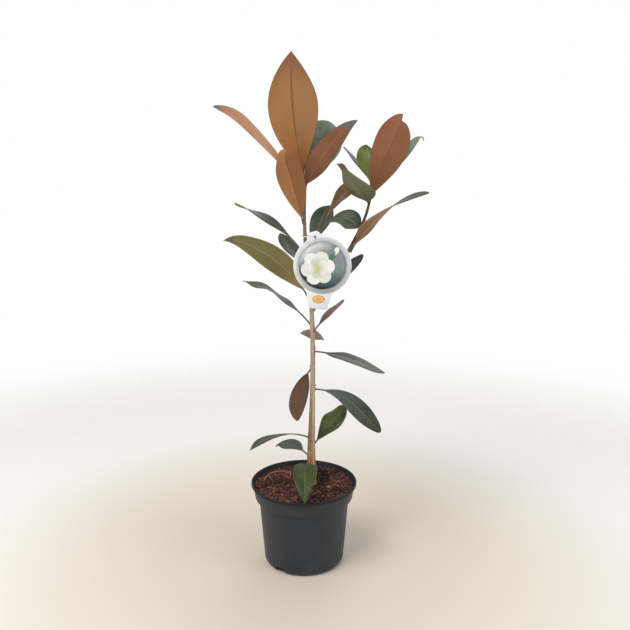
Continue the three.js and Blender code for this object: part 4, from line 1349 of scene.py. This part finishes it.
def addLabel():
    angles = np.linspace(-180, 180, label["points"], endpoint=False)
    reach = np.full(len(angles), float(label["radius"]))
    for strip, lap in ((label["tab"], 0), (label["tab"], 360), (label["tongue"], 0)):
        reach = np.maximum(reach, [stripReach(strip, a + lap) for a in angles])
    for _ in range(6):  # soft inner corners
        reach = np.maximum(reach, (np.roll(reach, 2) + np.roll(reach, -2)) / 2 * 0.999)
    x, y = reach * np.cos(np.radians(angles)), reach * np.sin(np.radians(angles))
    section = [(s, -out) for s, out in label["rim"]] + label["rim"][::-1]  # from back to front
    rings = []
    for s, out in section:
        rings.append([labelPoint(s * px, s * py, out * label["half"]) for px, py in zip(x, y)])
    points, faces = tube(rings)
    sheet = addMesh("labelSheet", points, faces, [sheetFinish("labelSheet", label["colour"])])
    bpy.ops.mesh.primitive_cylinder_add(vertices=40, radius=label["holeRadius"] * mm, depth=6 * mm)
    cutter = bpy.context.object
    cutter.rotation_euler.x = math.radians(90 - label["lean"])
    cutter.location = Vector(holePoint()) * mm
    cutOut(sheet, cutter)
    smoothByAngle(sheet, label["sharpAbove"])
    return sheet


def smoothByAngle(piece, degrees):
    shape = bmesh.new()
    shape.from_mesh(piece.data)
    for face in shape.faces:
        face.smooth = True
    for edge in shape.edges:
        if len(edge.link_faces) == 2:
            edge.smooth = edge.calc_face_angle(0) < math.radians(degrees)
    shape.to_mesh(piece.data)
    shape.free()


def printPatch(line, out, dome, rows):
    # a closed print layer inside an outline, thin at its rim and raised by dome in the middle
    out += label["half"]
    line = np.array(line, float)
    middle = line.mean(0)
    rings = [[labelPoint(px, py, out - 0.05) for px, py in line]]
    for k in range(rows + 1):
        s = math.cos(math.pi / 2 * k / rows)
        spots = middle + (line - middle) * max(s, 0.02)
        rings.append([labelPoint(px, py, out + dome * (1 - s ** 2)) for px, py in spots])
    return tube(rings)


def petalLine(x, y, heading, length, width, blunt):
    # a rounded petal that starts at x, y
    c, s = math.cos(math.radians(heading)), math.sin(math.radians(heading))
    count = 40
    line = []
    for k in range(count):
        a = 2 * math.pi * k / count
        along = length * (0.5 - 0.5 * math.cos(a))
        aside = width / 2 * math.sin(a) * (along / length) ** (1 - blunt) * 1.15
        line.append((x + along * c - aside * s, y + along * s + aside * c))
    return line


def oval(x, y, wide, high, count=72):
    return [(x + wide * math.cos(a), y + high * math.sin(a)) for a in allRound(count)]


prints = {
    "ground": dict(
        dark=(0.010, 0.018, 0.020), teal=(0.045, 0.105, 0.115), grey=(0.21, 0.24, 0.245),
        haze=(0.58, 0.60, 0.57)),
    "turning": [  # two distances in m from the middle, and the tones inside, outside and in patches
        # painted shade on the label's white rim, turning to a painted highlight at its outer edge
        ("rimShadeAndHighlight", 0.036, 0.0425, (0.40, 0.42, 0.43), (0.72, 0.73, 0.72), (0.56, 0.57, 0.57)),
        ("printPetal", 0.003, 0.016, (0.62, 0.64, 0.42), (0.84, 0.84, 0.80), (0.66, 0.68, 0.63)),
        ("printPetalWarm", 0.004, 0.02, (0.52, 0.55, 0.34), (0.76, 0.76, 0.70), (0.58, 0.60, 0.54)),
    ],
    "plain": {
        "printRimEdge": (0.24, 0.26, 0.26),
        "printLeaf": (0.085, 0.155, 0.125),
        "printLeafPale": (0.17, 0.26, 0.21),
        "printCentre": (0.58, 0.56, 0.24),
        "printBadge": (0.74, 0.33, 0.08),
        "printBadgePale": (0.84, 0.52, 0.20),
    },
    "rounds": [(43.1, 0.05, "rimShadeAndHighlight"), (36.4, 0.075, "printRimEdge"), (35.5, 0.10, "printGround")],
    "groundRadius": 35.5,
    "blossom": (-7, -4), "centre": 3.6,
    "whorls": [
        {"petals": 6, "first": 8, "length": 26, "width": 21, "blunt": 0.85, "out": 0.18},
        {"petals": 5, "first": 40, "length": 16, "width": 14, "blunt": 0.8, "out": 0.24},
    ],
    "sprig": [  # leaves behind the blossom: heading, length, width
        (38, 34, 11), (72, 29, 10), (205, 25, 10), (232, 27, 9), (322, 31, 11), (350, 33, 9),
    ],
    "sprigBlunt": 0.3,
    # how far out each print stands and how far its middle is raised
    "sprigLift": (0.13, 0.04), "budLift": (0.15, 0.06), "budLeafLift": (0.17, 0.06),
    "centreLift": (0.30, 0.14), "petalDome": 0.07, "badgeDome": 0.03,
    "overlap": 0.012,  # of one petal over the next
    "bud": (19, 15, 70, 13, 8, 0.55),  # x, y, heading, length, width, blunt
    "budLeaf": (18, 14, 86, 8, 4, 0.5),
    "badge": (-6, -51),
    "ovals": [  # of the badge: half width, half height, how far out
        (9.5, 6.2, 0.06, "printBadge"), (7.6, 4.5, 0.10, "printBadgePale"), (3.8, 2.0, 0.14, "printBadge"),
    ],
}


def addPrint():
    x, y = prints["blossom"]
    middle, heart = ([part * mm for part in spot] for spot in (label["centre"], labelPoint(x, y, 0)))
    finishes = [groundFinish("printGround", middle, prints["groundRadius"] * mm, **prints["ground"])]
    finishes += [roundFinish(*one, middle if one[0] == "rimShadeAndHighlight" else heart) for one in prints["turning"]]
    finishes += [sheetFinish(name, tone) for name, tone in prints["plain"].items()]
    names = [finish.name for finish in finishes]
    heap = Heap()

    def patch(line, out, dome, name, rows=5):
        heap.add(*printPatch(line, out, dome, rows), names.index(name))

    for radius, out, name in prints["rounds"]:
        patch(oval(0, 0, radius, radius, 120), out, 0.0, name, 2)
    for k, (heading, length, width) in enumerate(prints["sprig"]):
        line = petalLine(x, y, heading, length, width, prints["sprigBlunt"])
        patch(line, *prints["sprigLift"], ("printLeaf", "printLeafPale")[k % 2])
    patch(petalLine(*prints["bud"]), *prints["budLift"], "printPetal")
    patch(petalLine(*prints["budLeaf"]), *prints["budLeafLift"], "printLeafPale")
    for petal in prints["whorls"]:
        for k in range(petal["petals"]):
            heading = petal["first"] + 360 / petal["petals"] * k
            line = petalLine(x, y, heading, petal["length"], petal["width"], petal["blunt"])
            out = petal["out"] + prints["overlap"] * (k % 2)
            patch(line, out, prints["petalDome"], ("printPetal", "printPetalWarm")[k % 2])
    patch(oval(x, y, prints["centre"], prints["centre"]), *prints["centreLift"], "printCentre")
    for wide, high, out, name in prints["ovals"]:
        patch(oval(*prints["badge"], wide, high), out, prints["badgeDome"], name)
    return heap.piece("labelPrint", finishes)


finishPiece(addLabel(), "label_plastic", "label")
finishPiece(addPrint(), "label_plastic", "label")

tie = {
    "radius": 0.7, "halfLength": 9.9, "halfDepth": 11, "steps": 120, "around": 10,
    "colour": (0.72, 0.73, 0.72), "rough": 0.4,
}


def addTie():
    x, y, z = holePoint()
    z += label["holeRadius"] - tie["radius"] - 2 * fitGap
    steps, around = tie["steps"], tie["around"]
    points, faces = [], []
    for i in range(steps):
        a = 2 * math.pi * i / steps
        for k in range(around):
            b = 2 * math.pi * k / around
            out = tie["radius"] * math.cos(b)
            points.append((
                x - tie["halfLength"] + (tie["halfLength"] + out) * math.cos(a),
                y + (tie["halfDepth"] + out) * math.sin(a),
                z + tie["radius"] * math.sin(b),
            ))
            here, beside = i * around + k, i * around + (k + 1) % around
            corners = (here, here + around, beside + around, beside)
            faces.append([corner % (steps * around) for corner in corners])
    return addMesh("tieLoop", points, faces, [sheetFinish("tieThread", tie["colour"], tie["rough"])])


finishPiece(addTie(), "tie_plastic", "label_tie")
print("label ready")


def addFloor():
    finish = Finish("floor", Specular_IOR_Level=0.3)
    x, y, _ = finish.parts(finish.place())
    away = (x * x + y * y) ** 0.5
    far = away.between(studio["farFrom"], studio["farTo"])
    tone = finish.blend(far, studio["floorColour"], studio["farColour"])
    finish.feed(finish.shader.inputs["Alpha"], away.between(studio["fadeFrom"], studio["fadeTo"], 1.0, 0.0))
    edge = studio["floorRadius"] / mm
    points, faces = tube([hoop(r, z, 96) for r, z in ((edge, -20), (edge, 0), (1, 0))])
    floor = addMesh("floor", points, faces, [finish.done(tone, 0.7)], smooth=False)


addFloor()

bpy.context.view_layer.update()
print("all pieces ready")
